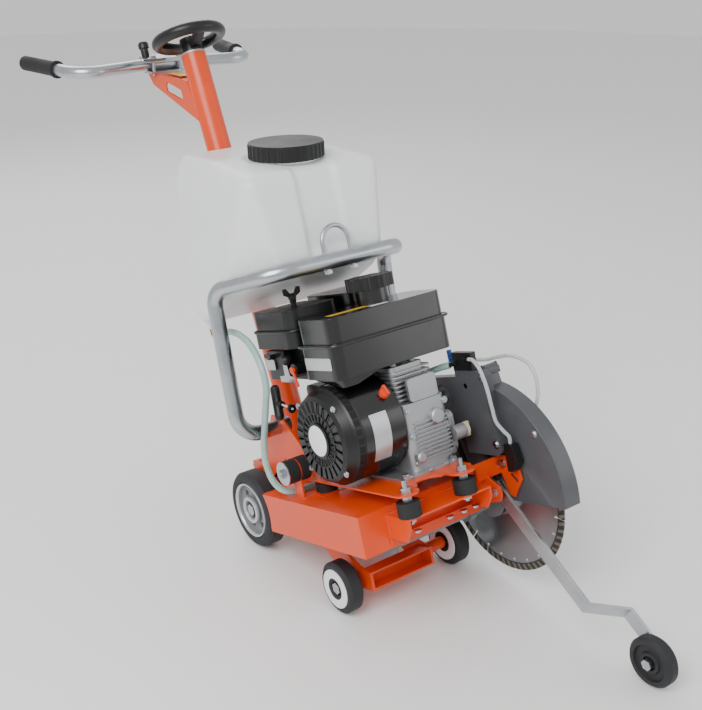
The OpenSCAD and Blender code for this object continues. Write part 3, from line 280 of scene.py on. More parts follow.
CAD_LOOKS = {
    "orange": ["chassis", "engine_plate", "handle_frame", "swing_frame"],
    "zinc": ["mount_studs", "tube_frame", "lifting_eye", "handlebar", "bar_clamp", "m8_bolts", "axle_pins",
        "front_axle_bolts", "lead_screw", "push_rod", "guide_arm", "crankshaft", "blade_shaft", "blade_flanges"],
    "guard": ["belt_guard", "rear_guard", "front_guard"],
    "rubber": ["rubber_mounts", "drive_belt", "right_grip", "left_grip"],
    "tyre": ["right_front_wheel", "left_front_wheel", "right_rear_tyre", "left_rear_tyre", "guide_wheel"],
    "tank": ["water_tank"],
    "black": ["water_cap", "water_valve", "spray_nozzles", "handwheel", "air_cleaner", "starter_grip",
        "recoil_cover", "fuel_cap", "carburettor"],
    "enamel": ["fuel_tank", "blower_housing", "muffler"],
    "brass": ["tank_outlet"],
    "hose": ["water_hose"],
    "spray": ["inner_spray_hose", "outer_spray_hose"],
    "alloy": ["crankcase", "column_bearing", "flywheel_fan"],
    "cast": ["bearing_housing", "blade_pulley", "engine_pulley"],
    "blade": ["saw_blade"],
    "hub": ["right_rear_hub", "left_rear_hub"],
    "blue": ["valve_knob"],
    "signal": ["throttle_lever", "engine_switch"],
    "cream": ["oil_plug"],
}

# ---------------------------------------------------------------- mesh building
PIECES = []


def keep(name, bm, look, body="machine", smooth=40):
    """Turns a bmesh into a finished piece that rides on a body."""
    bmesh.ops.remove_doubles(bm, verts=bm.verts, dist=1e-6)
    bmesh.ops.recalc_face_normals(bm, faces=bm.faces)
    mesh = bpy.data.meshes.new(name)
    bm.to_mesh(mesh)
    bm.free()
    obj = bpy.data.objects.new(name, mesh)
    bpy.context.scene.collection.objects.link(obj)
    mesh.materials.append(MATS[look])
    mesh.polygons.foreach_set("use_smooth", [True] * len(mesh.polygons))
    mesh.set_sharp_from_angle(angle=math.radians(smooth))
    if body:
        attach(obj, body)
    PIECES.append(obj)
    return obj


def axes_of(axis, hint=(0.2, 0.3, 0.93)):
    z = Vector(axis).normalized()
    x = z.cross(Vector(hint))
    x = x.normalized() if x.length > 1e-3 else z.orthogonal().normalized()
    return x, z.cross(x), z


def placed(origin, axis, hint=(0.2, 0.3, 0.93)):
    x, y, z = axes_of(axis, hint)
    m = Matrix((x, y, z)).transposed().to_4x4()
    m.translation = origin
    return m


def lathe(bm, profile, origin, axis, turns=48):
    """Revolves (radius, along) pairs in millimetres about an axis; radius 0 closes an end."""
    m = placed(origin, axis)
    rings = []
    for r, z in profile:
        if r == 0:
            rings.append([bm.verts.new(m @ Vector((0, 0, z / 1000)))])
            continue
        rings.append([bm.verts.new(m @ Vector((r * math.cos(a) / 1000, r * math.sin(a) / 1000, z / 1000)))
            for a in (2 * math.pi * k / turns for k in range(turns))])
    for a, b in zip(rings, rings[1:]):
        for k in range(turns):
            j = (k + 1) % turns
            quad = [a[k % len(a)], a[j % len(a)], b[j % len(b)], b[k % len(b)]]
            quad = list(dict.fromkeys(quad))
            if len(quad) > 2:
                bm.faces.new(quad)
    return bm


def slab(bm, outline, origin, u, v, thick, round_mm=0.0):
    """A flat plate: outline of (u, v) points in millimetres, raised by thick along u x v."""
    u, v = Vector(u).normalized(), Vector(v).normalized()
    w = u.cross(v)
    low = [bm.verts.new(origin + (u * a + v * b) / 1000) for a, b in outline]
    high = [bm.verts.new(origin + (u * a + v * b + w * thick) / 1000) for a, b in outline]
    bm.faces.new(low[::-1])
    top = bm.faces.new(high)
    n = len(low)
    for k in range(n):
        bm.faces.new([low[k], low[(k + 1) % n], high[(k + 1) % n], high[k]])
    if round_mm:
        bmesh.ops.bevel(bm, geom=list(top.edges), offset=round_mm / 1000, segments=3, affect="EDGES",
            profile=0.6)
    return bm


def card(w, d, r, n=5):
    """Outline of a rounded rectangle w by d, in millimetres."""
    pts = []
    for cx, cy, a0 in ((1, 1, 0), (-1, 1, 90), (-1, -1, 180), (1, -1, 270)):
        for k in range(n + 1):
            a = math.radians(a0 + 90 * k / n)
            pts.append((cx * (w / 2 - r) + r * math.cos(a), cy * (d / 2 - r) + r * math.sin(a)))
    return pts


def spline(points, n):
    """Catmull-Rom points through the given ones, as the CAD hoses are drawn."""
    out = []
    for i in range(len(points) - 1):
        a, b, c, d = (points[max(0, i - 1)], points[i], points[i + 1], points[min(len(points) - 1, i + 2)])
        for k in range(n):
            t = k / n
            bend = (2 * a - 5 * b + 4 * c - d) * t * t + (3 * b - a - 3 * c + d) * t**3
            out.append(0.5 * (2 * b + (c - a) * t + bend))
    return out + [points[-1]]


def hoops(bm, path, radii, sides):
    """Rings of vertices round a path, their frame carried along it without twist."""
    rings, u = [], None
    for i, (p, r) in enumerate(zip(path, radii)):
        t = (path[min(len(path) - 1, i + 1)] - path[max(0, i - 1)]).normalized()
        u = axes_of(t)[0] if u is None else (u - t * u.dot(t)).normalized()
        v = t.cross(u)
        rings.append([bm.verts.new(p + (u * math.cos(a) + v * math.sin(a)) * r)
            for a in (2 * math.pi * k / sides for k in range(sides))])
    return rings


def bead(bm, path, r=2.4):
    """A round bead along a path, swelling a little as a weld does; r in millimetres."""
    rings = hoops(bm, path, [r * (1 + 0.22 * math.sin(i * 2.4)) / 1000 for i in range(len(path))], 8)
    for a, b in zip(rings, rings[1:]):
        for k in range(8):
            bm.faces.new([a[k], a[(k + 1) % 8], b[(k + 1) % 8], b[k]])
    bm.faces.new(rings[0][::-1])
    bm.faces.new(rings[-1])


def tube(name, path, d, look, body="machine", sides=20):
    """A round tube swept along a path, with UV in metres: x along, y round."""
    bm = bmesh.new()
    uv = bm.loops.layers.uv.new("UVMap")
    rings, run, length = hoops(bm, path, [d / 2000] * len(path), sides), [0.0], 0.0
    for a, b in zip(path, path[1:]):
        length += (b - a).length
        run.append(length)
    turn = math.pi * d / 1000
    for i in range(len(rings) - 1):
        for k in range(sides):
            j = (k + 1) % sides
            f = bm.faces.new([rings[i][k], rings[i][j], rings[i + 1][j], rings[i + 1][k]])
            for loop, (a, b) in zip(f.loops, ((run[i], k), (run[i], k + 1), (run[i + 1], k + 1), (run[i + 1],
                k))):
                loop[uv].uv = (a, turn * b / sides)
    bm.faces.new(rings[0][::-1])
    bm.faces.new(rings[-1])
    obj = keep(name, bm, look, body)
    return obj, length


# ---------------------------------------------------------------- repeated parts by nodes
def head_tree():
    """Geometry nodes: one hex head and its washer on every point, turned to the point's own axis."""
    g = bpy.data.node_groups.new("hex_heads", "GeometryNodeTree")
    face = g.interface
    face.new_socket("Geometry", in_out="INPUT", socket_type="NodeSocketGeometry")
    for label, value in (("Across corners", 0.008), ("Height", 0.005), ("Washer", 0.010)):
        face.new_socket(label, in_out="INPUT", socket_type="NodeSocketFloat").default_value = value
    face.new_socket("Material", in_out="INPUT", socket_type="NodeSocketMaterial")
    face.new_socket("Geometry", in_out="OUTPUT", socket_type="NodeSocketGeometry")
    src = add(g, "NodeGroupInput")
    out = add(g, "NodeGroupOutput")
    hexa = add(g, "GeometryNodeMeshCylinder",
        {"Vertices": 6, "Radius": src.outputs["Across corners"], "Depth": src.outputs["Height"]})
    disc = add(g, "GeometryNodeMeshCylinder",
        {"Vertices": 24, "Radius": src.outputs["Washer"], "Depth": 0.0016})
    up = add(g, "ShaderNodeMath", {0: src.outputs["Height"], 1: 0.5}, operation="MULTIPLY")
    raise_by = add(g, "ShaderNodeCombineXYZ", {"Z": up.outputs[0]})
    lifted = add(g, "GeometryNodeTransform",
        {"Geometry": hexa.outputs["Mesh"], "Translation": raise_by.outputs[0]})
    head = add(g, "GeometryNodeJoinGeometry")
    g.links.new(lifted.outputs[0], head.inputs[0])
    g.links.new(disc.outputs["Mesh"], head.inputs[0])
    axis = add(g, "GeometryNodeInputNamedAttribute", {"Name": "axis"}, data_type="FLOAT_VECTOR")
    turn = add(g, "FunctionNodeAlignRotationToVector", {"Vector": axis.outputs["Attribute"]}, axis="Z")
    inst = add(g, "GeometryNodeInstanceOnPoints",
        {"Points": src.outputs["Geometry"], "Instance": head.outputs[0], "Rotation": turn.outputs[0]})
    real = add(g, "GeometryNodeRealizeInstances", {"Geometry": inst.outputs[0]})
    done = add(g, "GeometryNodeSetMaterial",
        {"Geometry": real.outputs[0], "Material": src.outputs["Material"]})
    g.links.new(done.outputs[0], out.inputs[0])
    return g


def ring_tree():
    """Geometry nodes: a block on every point of a circle, standing radially."""
    g = bpy.data.node_groups.new("ring_of_blocks", "GeometryNodeTree")
    face = g.interface
    face.new_socket("Geometry", in_out="INPUT", socket_type="NodeSocketGeometry")
    face.new_socket("Count", in_out="INPUT", socket_type="NodeSocketInt").default_value = 24
    face.new_socket("Radius", in_out="INPUT", socket_type="NodeSocketFloat").default_value = 0.1
    face.new_socket("Size", in_out="INPUT", socket_type="NodeSocketVector").default_value = (0.01, 0.01, 0.01)
    face.new_socket("Material", in_out="INPUT", socket_type="NodeSocketMaterial")
    face.new_socket("Geometry", in_out="OUTPUT", socket_type="NodeSocketGeometry")
    src = add(g, "NodeGroupInput")
    out = add(g, "NodeGroupOutput")
    ring = add(g, "GeometryNodeMeshCircle",
        {"Vertices": src.outputs["Count"], "Radius": src.outputs["Radius"]})
    cube = add(g, "GeometryNodeMeshCube", {"Size": src.outputs["Size"]})
    place = add(g, "GeometryNodeInputPosition")
    turn = add(g, "FunctionNodeAlignRotationToVector", {"Vector": place.outputs[0]}, axis="X")
    inst = add(g, "GeometryNodeInstanceOnPoints",
        {"Points": ring.outputs["Mesh"], "Instance": cube.outputs["Mesh"], "Rotation": turn.outputs[0]})
    real = add(g, "GeometryNodeRealizeInstances", {"Geometry": inst.outputs[0]})
    done = add(g, "GeometryNodeSetMaterial",
        {"Geometry": real.outputs[0], "Material": src.outputs["Material"]})
    g.links.new(done.outputs[0], out.inputs[0])
    return g


TREES = {}


def by_nodes(name, tree, points, values, look, body, place=None):
    """Runs a node tree on a point mesh, keeps the plain mesh it gives and drops the modifier."""
    if tree not in TREES:
        TREES[tree] = head_tree() if tree == "heads" else ring_tree()
    mesh = bpy.data.meshes.new(name + "_points")
    mesh.from_pydata([p for p, _ in points], [], [])
    axis = mesh.attributes.new("axis", "FLOAT_VECTOR", "POINT")
    axis.data.foreach_set("vector", [c for _, a in points for c in a])
    seed = bpy.data.objects.new(name + "_seed", mesh)
    bpy.context.scene.collection.objects.link(seed)
    mod = seed.modifiers.new("build", "NODES")
    mod.node_group = TREES[tree]
    sockets = {i.name: i.identifier for i in TREES[tree].interface.items_tree if i.in_out == "INPUT"}
    for k, v in values.items():
        mod[sockets[k]] = v
    mod[sockets["Material"]] = MATS[look]
    bpy.context.view_layer.update()
    graph = bpy.context.evaluated_depsgraph_get()
    made = bpy.data.meshes.new_from_object(seed.evaluated_get(graph))
    seed.modifiers.remove(mod)
    bpy.data.objects.remove(seed)
    bm = bmesh.new()
    bm.from_mesh(made)
    if place is not None:
        bmesh.ops.transform(bm, matrix=place, verts=bm.verts)
    return keep(name, bm, look, body, smooth=30)


# ---------------------------------------------------------------- pieces
CAMERA_AT = Vector((-1.12067, -1.69325 + SHIFT / 1000, 1.34849))
CAMERA_WAY = Vector((0.5336, 0.7360, -0.4168))


def build_camera():
    """Looks at the saw as the CAD frame was fitted: 52 mm lens, a little above the handlebar."""
    data = bpy.data.cameras.new("camera")
    data.lens = 52.26
    data.sensor_width = 36
    cam = bpy.data.objects.new("camera", data)
    bpy.context.scene.collection.objects.link(cam)
    cam.location = CAMERA_AT
    cam.rotation_euler = CAMERA_WAY.to_track_quat("-Z", "Y").to_euler()
    bpy.context.scene.camera = cam


# The hose routes of the CAD model, in metres once placed. s is forward.
VALVE_WAY = Vector((-0.5, -1, -0.2)).normalized()
OUTLET_WAY = Vector((-1, 3, 0.2)).normalized()
OUTLET_TIP = Vector((-158, 4, 398)) + 18 * OUTLET_WAY
VALVE_TIP = Vector((163, 396, 256)) + 14 * VALVE_WAY
WATER_ROUTE = [
    tuple(OUTLET_TIP), tuple(OUTLET_TIP + 22 * OUTLET_WAY), (-171, 75, 405), (-170, 110, 404), (-171, 150,
        394), (-172, 185, 370),
    (-175, 212, 330), (-176, 214, 290), (-175, 195, 255), (-173, 160, 196), (-173, 140, 155),
    (-174, 138, 118), (-172, 150, 84), (-158, 164, 62), (-132, 172, 55), (-92, 172, 55),
    (-50, 165, 55), (30, 158, 55), (100, 156, 56), (130, 158, 72), (137, 158, 110),
    (137, 168, 155), (136, 205, 195), (135, 265, 222), (138, 325, 240), (148, 362, 250), tuple(VALVE_TIP),
]
INNER_ROUTE = [
    (158.6, 444, 266), (158.6, 458, 263), (157.5, 474, 245), (157.5, 484, 210), (158, 488, 170),
    (160, 490, 140), (167, 498, 120), (173, 505, 106), (173, 505, 92),
]
OUTER_ROUTE = [
    (178.2, 404, 264), (184, 404, 264), (196, 396, 259), (218, 392, 250), (235, 408, 246), (238, 440,
        251), (238, 475, 254),
    (238, 506, 248), (238, 529, 235), (238, 540, 214), (238, 540, 190), (238, 533, 165), (238, 514, 138),
    (237, 480, 122), (235, 446, 120), (233.5, 432, 110), (233.5, 430, 94),
]


def build_hose(name, node, route, d, look):
    path = spline([at(*p) for p in route], 10)
    obj, length = tube(name, path, d, look)
    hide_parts(node)


def ease_in(v, a, b):
    """Smooth step from 0 at a to 1 at b."""
    k = max(0.0, min(1.0, (v - a) / (b - a)))
    return k**2 * (3 - 2 * k)


def build_tank():
    """Blow-moulded tank: the CAD shape with soft edges, a front recess and a flat seat for the cap."""
    knots = [(170, -1, 471), (170, 22, 449), (166, 148, 494), (112, 256, 531), (137, 256, 682),
        (126, 130, 728), (108, -36, 764), (130, -32, 724)]
    bm = bmesh.new()
    for x, s, h in knots:
        for side in (-1, 1):
            for i in range(9):
                for k in range(20):
                    a, b = math.pi * i / 8 - math.pi / 2, 2 * math.pi * k / 20
                    spot = (side * x + 24 * math.cos(a) * math.cos(b), s + 24 * math.cos(a) * math.sin(b),
                        h + 24 * math.sin(a))
                    bm.verts.new(at(*spot))
    bmesh.ops.remove_doubles(bm, verts=bm.verts, dist=1e-5)
    hull = bmesh.ops.convex_hull(bm, input=bm.verts)
    inner = {v for v in hull["geom_interior"] + hull["geom_unused"] if isinstance(v, bmesh.types.BMVert)}
    bmesh.ops.delete(bm, geom=[v for v in bm.verts if v in inner], context="VERTS")
    mesh = bpy.data.meshes.new("tank_seed")
    bm.to_mesh(mesh)
    bm.free()
    seed = bpy.data.objects.new("tank_seed", mesh)
    bpy.context.scene.collection.objects.link(seed)
    re = seed.modifiers.new("even", "REMESH")
    re.mode = "VOXEL"
    re.voxel_size = 0.0045
    re.use_smooth_shade = True
    ease = seed.modifiers.new("ease", "SMOOTH")
    ease.factor = 0.5
    ease.iterations = 6
    bpy.context.view_layer.update()
    made = bpy.data.meshes.new_from_object(seed.evaluated_get(bpy.context.evaluated_depsgraph_get()))
    bpy.data.objects.remove(seed)
    bm = bmesh.new()
    bm.from_mesh(made)
    seat = at(0, 184, 733)
    lean = math.radians(16)
    seat_up = way(0, math.sin(lean), math.cos(lean))
    for v in bm.verts:
        rel = v.co - at(0, 0, 0)
        x, s, h = rel.dot(ACROSS) * 1000, rel.dot(AHEAD) * 1000, rel.dot(UP) * 1000
        front = ease_in(s, 215, 262)
        if front > 0:
            inside = (1 - ease_in(abs(x), 38, 56)) * ease_in(h, 520, 545)
            v.co -= AHEAD * 0.011 * front * inside
        over = (v.co - seat).dot(seat_up)
        away = (v.co - seat - seat_up * over).length
        if h > 690 and over > -0.002 and away < 0.090:
            v.co -= seat_up * (over + 0.001) * (1 - ease_in(away * 1000, 82, 90))
    obj = keep("tank_shell", bm, "tank", smooth=60)
    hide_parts("water_tank")
    bm = bmesh.new()
    lathe(bm, [(0, -20), (62, -20), (62, -4), (67.8, -4), (67.8, 0.6), (74, 0.6), (74, -1), (0, -1)], seat,
        seat_up, 64)
    obj = keep("tank_neck", bm, "tank")
    bm = bmesh.new()
    lathe(bm, [(0, 24), (7.2, 24), (7.2, 13), (12, 13), (13, 15), (14, 30), (18, 42), (0, 46)],
        at(-158, 4, 399), UP, 32)
    keep("tank_boss", bm, "tank")


def plate_on(name, centre, u, v, w, d, r, thick, look, body="machine"):
    bm = bmesh.new()
    slab(bm, card(w, d, r), centre, u, v, thick, min(0.3, thick / 3))
    return keep(name, bm, look, body)


def build_trim():
    """Badge, blank foils and seam beads of the engine."""
    crank = at(-150, *CRANK)
    # round blank badge in a raised ring on the recoil cover
    bm = bmesh.new()
    lathe(bm, [(0, 0), (31, 0), (31, 4.2), (28, 5.2), (0, 5.2)], crank, -ACROSS, 48)
    keep("recoil_badge", bm, "white")
    bm = bmesh.new()
    lathe(bm, [(31, 0), (35, 0), (36, 3.0), (34, 4.6), (31, 4.6), (31, 0)], crank, -ACROSS, 64)
    keep("recoil_badge_ring", bm, "black")
    # blank foils: drum plate, name plate, tank top and bracket
    bm = bmesh.new()
    arc = [math.radians(v) for v in range(-34, 23, 4)]
    low = [round_crank(-88, 98.3, v) for v in arc]
    high = [round_crank(-48, 98.3, v) for v in arc]
    low_out = [round_crank(-88, 98.8, v) for v in arc]
    high_out = [round_crank(-48, 98.8, v) for v in arc]
    sheet_verts = [[bm.verts.new(p) for p in row] for row in (low, high, high_out, low_out)]
    for i in range(len(arc) - 1):
        for k in range(4):
            n = (k + 1) % 4
            bm.faces.new([sheet_verts[k][i], sheet_verts[k][i + 1], sheet_verts[n][i + 1], sheet_verts[n][i]])
    for i in (0, -1):
        bm.faces.new([sheet_verts[k][i] for k in range(4)])
    keep("drum_plate", bm, "foil")
    plate_on("name_plate", at(-122.2, 342, 326), AHEAD, UP, 92, 24, 3, 0.8, "foil")
    plate_on("tank_label", at(-40, 352, 412.2), ACROSS, AHEAD, 92, 22, 2, 0.5, "yellow")
    plate_on("tank_label_white", at(20, 374, 412.2), ACROSS, AHEAD, 40, 20, 2, 0.5, "white")
    # soft seam ribs round the fuel tank flange and air cleaner
    for name, x, s, h, look in (("tank_flange_bead", (-126, 166), (271, 409), 360, "enamel"),
        ("cleaner_bead", (-125, 7), (103, 267), 391, "black")):
        w, d = x[1] - x[0], s[1] - s[0]
        mid = at((x[0] + x[1]) / 2, (s[0] + s[1]) / 2, h)
        ring = [mid + (ACROSS * a + AHEAD * b) / 1000 for a, b in card(w, d, 23, 8)]
        bm = bmesh.new()
        sides = 10
        rings = []
        for i, p in enumerate(ring):
            t = (ring[(i + 1) % len(ring)] - ring[i - 1]).normalized()
            n = t.cross(UP)
            rings.append([bm.verts.new(p + (n * math.cos(q) * 2.4 + UP * math.sin(q) * 3.0) / 1000)
                for q in (2 * math.pi * k / sides for k in range(sides))])
        for i in range(len(rings)):
            for k in range(sides):
                j, n = (k + 1) % sides, (i + 1) % len(rings)
                bm.faces.new([rings[i][k], rings[i][j], rings[n][j], rings[n][k]])
        keep(name, bm, look)


def build_wheels():
    """Discs of the front wheels and bright rings of the rear ones."""
    for m, body in ((-1, "front_wheel_r"), (1, "front_wheel_l")):
        for face, out in ((154 if m < 0 else 166, 1), (116 if m < 0 else 128, -1)):
            bm = bmesh.new()
            side = ACROSS * m * out
            lathe(bm, [(19.5, -1), (24, 0.4), (36, 0.8), (40.6, 0.3), (41, -1.6), (40, -2), (19.5, -2),
                (19.5, -1)], at(m * face, 276, -134), side, 64)
            keep(f"wheel_disc_{body[-1]}_{'out' if out > 0 else 'in'}", bm, "white", body)
    for m, body in ((-1, "rear_wheel_r"), (1, "rear_wheel_l")):
        bm = bmesh.new()
        lathe(bm, [(56, -5), (57, -1), (59, 0.6), (61, 0.6), (62, -3), (56, -5)], at(m * 169, 0, 0),
            ACROSS * m, 96)
        keep(f"rim_ring_{body[-1]}", bm, "foil", body)
        bm = bmesh.new()
        lathe(bm, [(22, -3.6), (23, -0.4), (28, 0.4), (30, -1), (31, -6), (22, -3.6)], at(m * 169, 0, 0),
            ACROSS * m, 64)
        keep(f"hub_ring_{body[-1]}", bm, "foil", body)


def heads(name, spots, size, height, washer, look="zinc", body="machine"):
    values = {"Across corners": size / 1000, "Height": height / 1000, "Washer": washer / 1000}
    return by_nodes(name, "heads", spots, values, look, body)


def build_fixings():
    """Screws, nuts and the repeated slots of the recoil cover, all from node trees."""
    heads("recoil_screws", [(round_crank(-150 + 6, 90, a), -ACROSS)
        for a in (math.radians(v) for v in (45, 135, 225, 315))], 4.6, 3.6, 6.5, "zinc")
    heads("case_screws", [(round_crank(114, 52, a), ACROSS)
        for a in (math.radians(v) for v in range(0, 360, 60))], 5.6, 4.5, 7.5)
    heads("case_front_screws", [(at(x, 424, h), AHEAD) for x in (4, 96) for h in (96, 150, 200)], 5.0, 4.0,
        7.0)
    heads("base_screws", [(at(x, 438, 81), UP) for x in (-30, 20, 60)], 5.0, 4.0, 7.0)
    heads("cover_screws", [(at(163, s, h), -ACROSS) for s, h in ((466, 226), (300, 210), (300, 134),
        (474, 90))], 6.0, 4.2, 9.0)
    heads("guard_screws", [(at(188, s, h), -ACROSS) for s, h in ((430, 190), (260, 120), (230, 20),
        (380, 195))], 6.0, 4.2, 9.0)
    heads("flap_screws", [(at(188, s, h), -ACROSS) for s, h in ((450, 190), (560, 110))], 6.0, 4.2, 9.0,
        body="guard_flap")
    heads("chassis_nuts", [(at(x, 470, -11), -UP) for x in (-96, -60, 20, 56, 86)], 5.4, 4.5, 8.0)
    # perforations of the recoil drum: a ring of dark pockets let into its side, near-black blocks of painted
    # shade standing for the shadow in the holes
    place = placed(at(-118, *CRANK), ACROSS)
    values = {"Count": 36, "Radius": 0.0972, "Size": (0.003, 0.0105, 0.012)}
    by_nodes("drum_pocket_shade", "ring", [((0, 0, 0), (0, 0, 1))], values, "dark", "machine", place)
    # moulded ribs and a band on the recoil face
    place = placed(at(-149.6, *CRANK), ACROSS)
    values = {"Count": 24, "Radius": 0.0585, "Size": (0.036, 0.0022, 0.003)}
    by_nodes("recoil_ribs", "ring", [((0, 0, 0), (0, 0, 1))], values, "black", "machine", place)
    place = placed(at(-149.8, *CRANK), ACROSS)
    values = {"Count": 72, "Radius": 0.0545, "Size": (0.0022, 0.0049, 0.0032)}
    by_nodes("recoil_band", "ring", [((0, 0, 0), (0, 0, 1))], values, "black", "machine", place)


def build_engine_details():
    """Casting pads, governor, choke, wing nut, muffler louvres and the starter rope."""
    # crankcase front: pushrod cover, drain boss and casting pads
    bm = bmesh.new()
    slab(bm, card(70, 46, 8), at(50, 424, 238), ACROSS, UP, -8, 1.5)
    slab(bm, card(56, 30, 6), at(40, 424, 118), ACROSS, UP, -12, 2)
    lathe(bm, [(0, 0), (16, 0), (16, 10), (13, 13), (0, 13)], at(66, 424, 176), AHEAD, 32)
    lathe(bm, [(0, 0), (11, 0), (11, 12), (8, 15), (0, 15)], at(8, 424, 108), AHEAD, 24)
    keep("case_bosses", bm, "alloy")
    # linkage and bracket by the carburettor
    bm = bmesh.new()
    slab(bm, [(0, 0), (62, 0), (62, 10), (40, 14), (34, 52), (22, 52), (20, 14), (0, 12)],
        at(-117, 176, 286), AHEAD, UP, 1.8, 0)
    slab(bm, card(34, 22, 4), at(-117.5, 150, 322), AHEAD, UP, 3, 0)
    keep("governor_bracket", bm, "zinc")
    bm = bmesh.new()
    lathe(bm, [(0, 0), (9, 0), (10, 3), (10, 14), (7, 18), (0, 18)], at(-116, 226, 334), -ACROSS, 24)
    lathe(bm, [(0, 0), (5, 0), (5, 16), (0, 16)], at(-117, 168, 340), -ACROSS, 16)
    slab(bm, card(26, 8, 3), at(-132, 168, 344), AHEAD, UP, 3, 0)
    keep("choke_knob", bm, "black")
    # wing nut on the air cleaner
    bm = bmesh.new()
    top = at(-60, 190, 450)
    lathe(bm, [(0, -2), (9, -2), (8, 6), (6, 9), (0, 9)], top, UP, 24)
    for m in (-1, 1):
        slab(bm, [(m * 5, 0), (m * 20, 8), (m * 21, 20), (m * 13, 21), (m * 5, 9)][:: m], top, ACROSS, UP, 3,
            0)
    keep("wing_nut", bm, "black")
    # muffler heat shield: pressed louvres, their openings drawn as near-black slabs of painted shade
    bm = bmesh.new()
    for k in range(5):
        slab(bm, card(70, 7, 3), at(80, 130 + 22 * k, 438), ACROSS, AHEAD, 3, 1)
    keep("muffler_louvre_shade", bm, "dark")
    # starter rope from the cover's guide to the grip, and the guide itself
    pull = way(0, -1, 0.176)
    grip = at(-146, 190, 250)
    bm = bmesh.new()
    lathe(bm, [(3.2, 0), (9, 0), (9, 6), (6, 9), (3.2, 9), (3.2, 0)], grip - pull * 0.058, pull, 24)
    keep("rope_guide", bm, "black")
    rope, _ = tube("starter_rope", [grip - pull * 0.060 + pull * 0.0025 * k for k in range(19)], 4.4,
        "cordage", body=None, sides=12)
    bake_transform(rope)


def build_frame_details():
    """Welds, rim beads of the guards and the fittings behind the clamp."""
    # weld beads where the column meets the base, bracket and arms
    bm = bmesh.new()
    for m in (-1, 1):
        bead(bm, [at(m * 27.5, -112, 866 + 8.8 * k) + AHEAD * (0.001 - 0.001 * k * 0.12) for k in range(11)])
        bead(bm, [at(m * 105.5, 444, -40 + 6 * k) for k in range(2, 11)])
    bead(bm, [at(-104 + 8 * k, 442.6, 31) for k in range(25)])
    bead(bm, [at(-164 + 9 * k, 80, 46) for k in range(7)])
    keep("weld_beads", bm, "orange")
    # blank foil on the bracket's top flange
    a, b = at(0, -160, 970.5), at(0, -240, 998)
    along = (b - a).normalized()
    plate_on("bracket_label", (a + b) / 2 + UP * 0.0022, ACROSS, -along, 40, 66, 2, 0.5, "yellow")
    # folded edge of the guards: a bright bead along the rim of the near plates
    for name, a0, a1, body, look in (("rear_rim_bead", 84, 188, "machine", "guard"),
        ("front_rim_bead", -6, 78, "guard_flap", "guard")):
        bm = bmesh.new()
        path = [ring_point(188.6, GUARD, GUARD_R - 0.8, math.radians(q))
            for q in np.linspace(a0, a1, 60)]
        bead(bm, path, 1.6)
        keep(name, bm, look, body)
    # the small stop knob under the handwheel and a zinc strap by the clamp
    bm = bmesh.new()
    knob = at(-62, -236, 1046)
    lathe(bm, [(0, -10), (8, -10), (9, -6), (9, 10), (12, 12), (12, 22), (9, 26), (0, 26)], knob, UP, 32)
    keep("stop_knob", bm, "black")
    bm = bmesh.new()
    slab(bm, card(64, 14, 4), at(-40, -246, 1033), ACROSS, AHEAD, 3, 0)
    keep("stop_knob_strap", bm, "zinc")


def build_stage():
    """Pale floor, even white world and three soft area lamps."""
    bm = bmesh.new()
    r, n = 9.0, 72
    bm.faces.new([bm.verts.new((r * math.cos(2 * math.pi * k / n), r * math.sin(2 * math.pi * k / n),
        -0.0004)) for k in range(n)])
    mesh = bpy.data.meshes.new("floor")
    bm.to_mesh(mesh)
    bm.free()
    floor = bpy.data.objects.new("floor", mesh)
    bpy.context.scene.collection.objects.link(floor)
    mesh.materials.append(surface("pale_floor", "#f4f4f3", 0.55, grain=8, depth=0.02, vary=0.01, edge=0.1))
    floor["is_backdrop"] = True
    world = bpy.data.worlds.new("studio")
    bpy.context.scene.world = world
    world.use_nodes = True
    back = world.node_tree.nodes["Background"]
    back.inputs["Color"].default_value = (1, 1, 1, 1)
    back.inputs["Strength"].default_value = 0.80
    for name, place, size, power in (("key", (-2.4, -1.2, 3.0), 2.2, 110),
        ("fill", (2.6, -2.4, 1.8), 2.0, 20), ("rim", (0.6, 3.0, 2.6), 2.0, 40)):
        data = bpy.data.lights.new(name, "AREA")
        data.size = size
        data.energy = power
        lamp = bpy.data.objects.new(name, data)
        bpy.context.scene.collection.objects.link(lamp)
        lamp.location = place
        lamp.rotation_euler = (Vector((0, 0, 0.45)) - Vector(place)).to_track_quat("-Z", "Y").to_euler()


# ---------------------------------------------------------------- the add-on
class SawLookSettings(bpy.types.PropertyGroup):
    """Sizes that the operators below read."""

    hose_diameter: bpy.props.FloatProperty(name="Water hose", description="Outer diameter of the water hose",
        default=0.014, unit="LENGTH")
    spray_diameter: bpy.props.FloatProperty(name="Spray hose",
        description="Outer diameter of the spray hoses", default=0.008, unit="LENGTH")


def operator(idname, label, doc, work):
    """An operator class that runs work, for one piece or group."""

    def execute(self, context):
        work(context)
        return {"FINISHED"}

    return type(f"SAW_OT_{idname}", (bpy.types.Operator,),
        {"__doc__": doc, "bl_idname": f"saw.{idname}", "bl_label": label, "execute": execute})


def paint_frame():
    for look, names in CAD_LOOKS.items():
        for n in names:
            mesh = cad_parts[n].data
            mesh.materials.clear()
            mesh.materials.append(MATS[look])


def add_hoses(context):
    sizes = context.scene.saw_look
    build_hose("water_hose_skin", "water_hose", WATER_ROUTE, sizes.hose_diameter * 1000, "hose")
    build_hose("inner_spray_skin", "inner_spray_hose", INNER_ROUTE, sizes.spray_diameter * 1000, "spray")
    build_hose("outer_spray_skin", "outer_spray_hose", OUTER_ROUTE, sizes.spray_diameter * 1000, "spray")


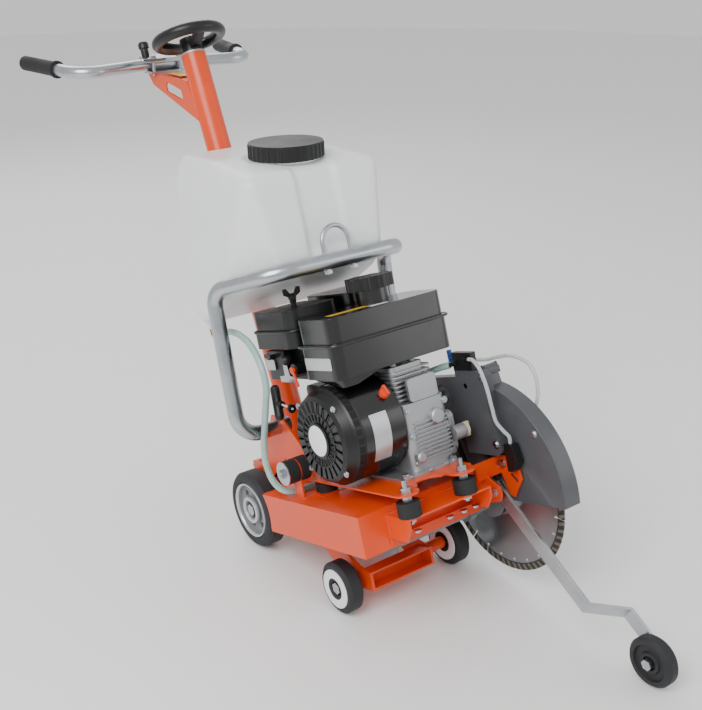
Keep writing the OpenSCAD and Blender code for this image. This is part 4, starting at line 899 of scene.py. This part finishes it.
OPERATORS = [
    operator("camera", "Camera", "Sets the camera that looks at the saw", lambda c: build_camera()),
    operator("materials", "Materials", "Makes the finishes and puts them on the CAD frame",
        lambda c: (make_materials(), paint_frame())),
    operator("hoses", "Hoses", "Lays the water hose and both spray hoses", add_hoses),
    operator("tank", "Water tank", "Moulds the water tank", lambda c: build_tank()),
    operator("wheels", "Wheel trim", "Fits discs and rings to the wheels", lambda c: build_wheels()),
    operator("trim", "Engine trim", "Puts badge, foils and beads on the engine", lambda c: build_trim()),
    operator("fixings", "Fixings", "Instances screws, nuts and perforations", lambda c: build_fixings()),
    operator("engine", "Engine details", "Builds casting pads, controls and starter rope",
        lambda c: build_engine_details()),
    operator("structure", "Frame details", "Adds weld beads, rims and clamp details",
        lambda c: build_frame_details()),
    operator("stage", "Stage", "Sets floor and lights", lambda c: build_stage()),
]


class SAW_PT_looks(bpy.types.Panel):
    """Sidebar panel of the floor saw's looks."""

    bl_label = "Floor saw"
    bl_idname = "SAW_PT_looks"
    bl_space_type = "VIEW_3D"
    bl_region_type = "UI"
    bl_category = "Floor saw"

    def draw(self, context):
        self.layout.prop(context.scene.saw_look, "hose_diameter")
        self.layout.prop(context.scene.saw_look, "spray_diameter")
        for op in OPERATORS:
            self.layout.operator(op.bl_idname)


def register():
    for c in (SawLookSettings, SAW_PT_looks, *OPERATORS):
        bpy.utils.register_class(c)
    bpy.types.Scene.saw_look = bpy.props.PointerProperty(type=SawLookSettings)


def unregister():
    del bpy.types.Scene.saw_look
    for c in (*reversed(OPERATORS), SAW_PT_looks, SawLookSettings):
        bpy.utils.unregister_class(c)


def numbers(value):
    """Plain nested lists of floats from bounds."""
    return [numbers(v) for v in value] if hasattr(value, "__len__") else float(value)


def main():
    register()
    for op in OPERATORS:
        if getattr(bpy.ops.saw, op.bl_idname.split(".")[1])() != {"FINISHED"}:
            raise RuntimeError(f"{op.bl_label} did not finish")
    sizes = {"start": numbers(START_BOUNDS), "finish": numbers(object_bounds())}


if __name__ == "__main__":
    main()
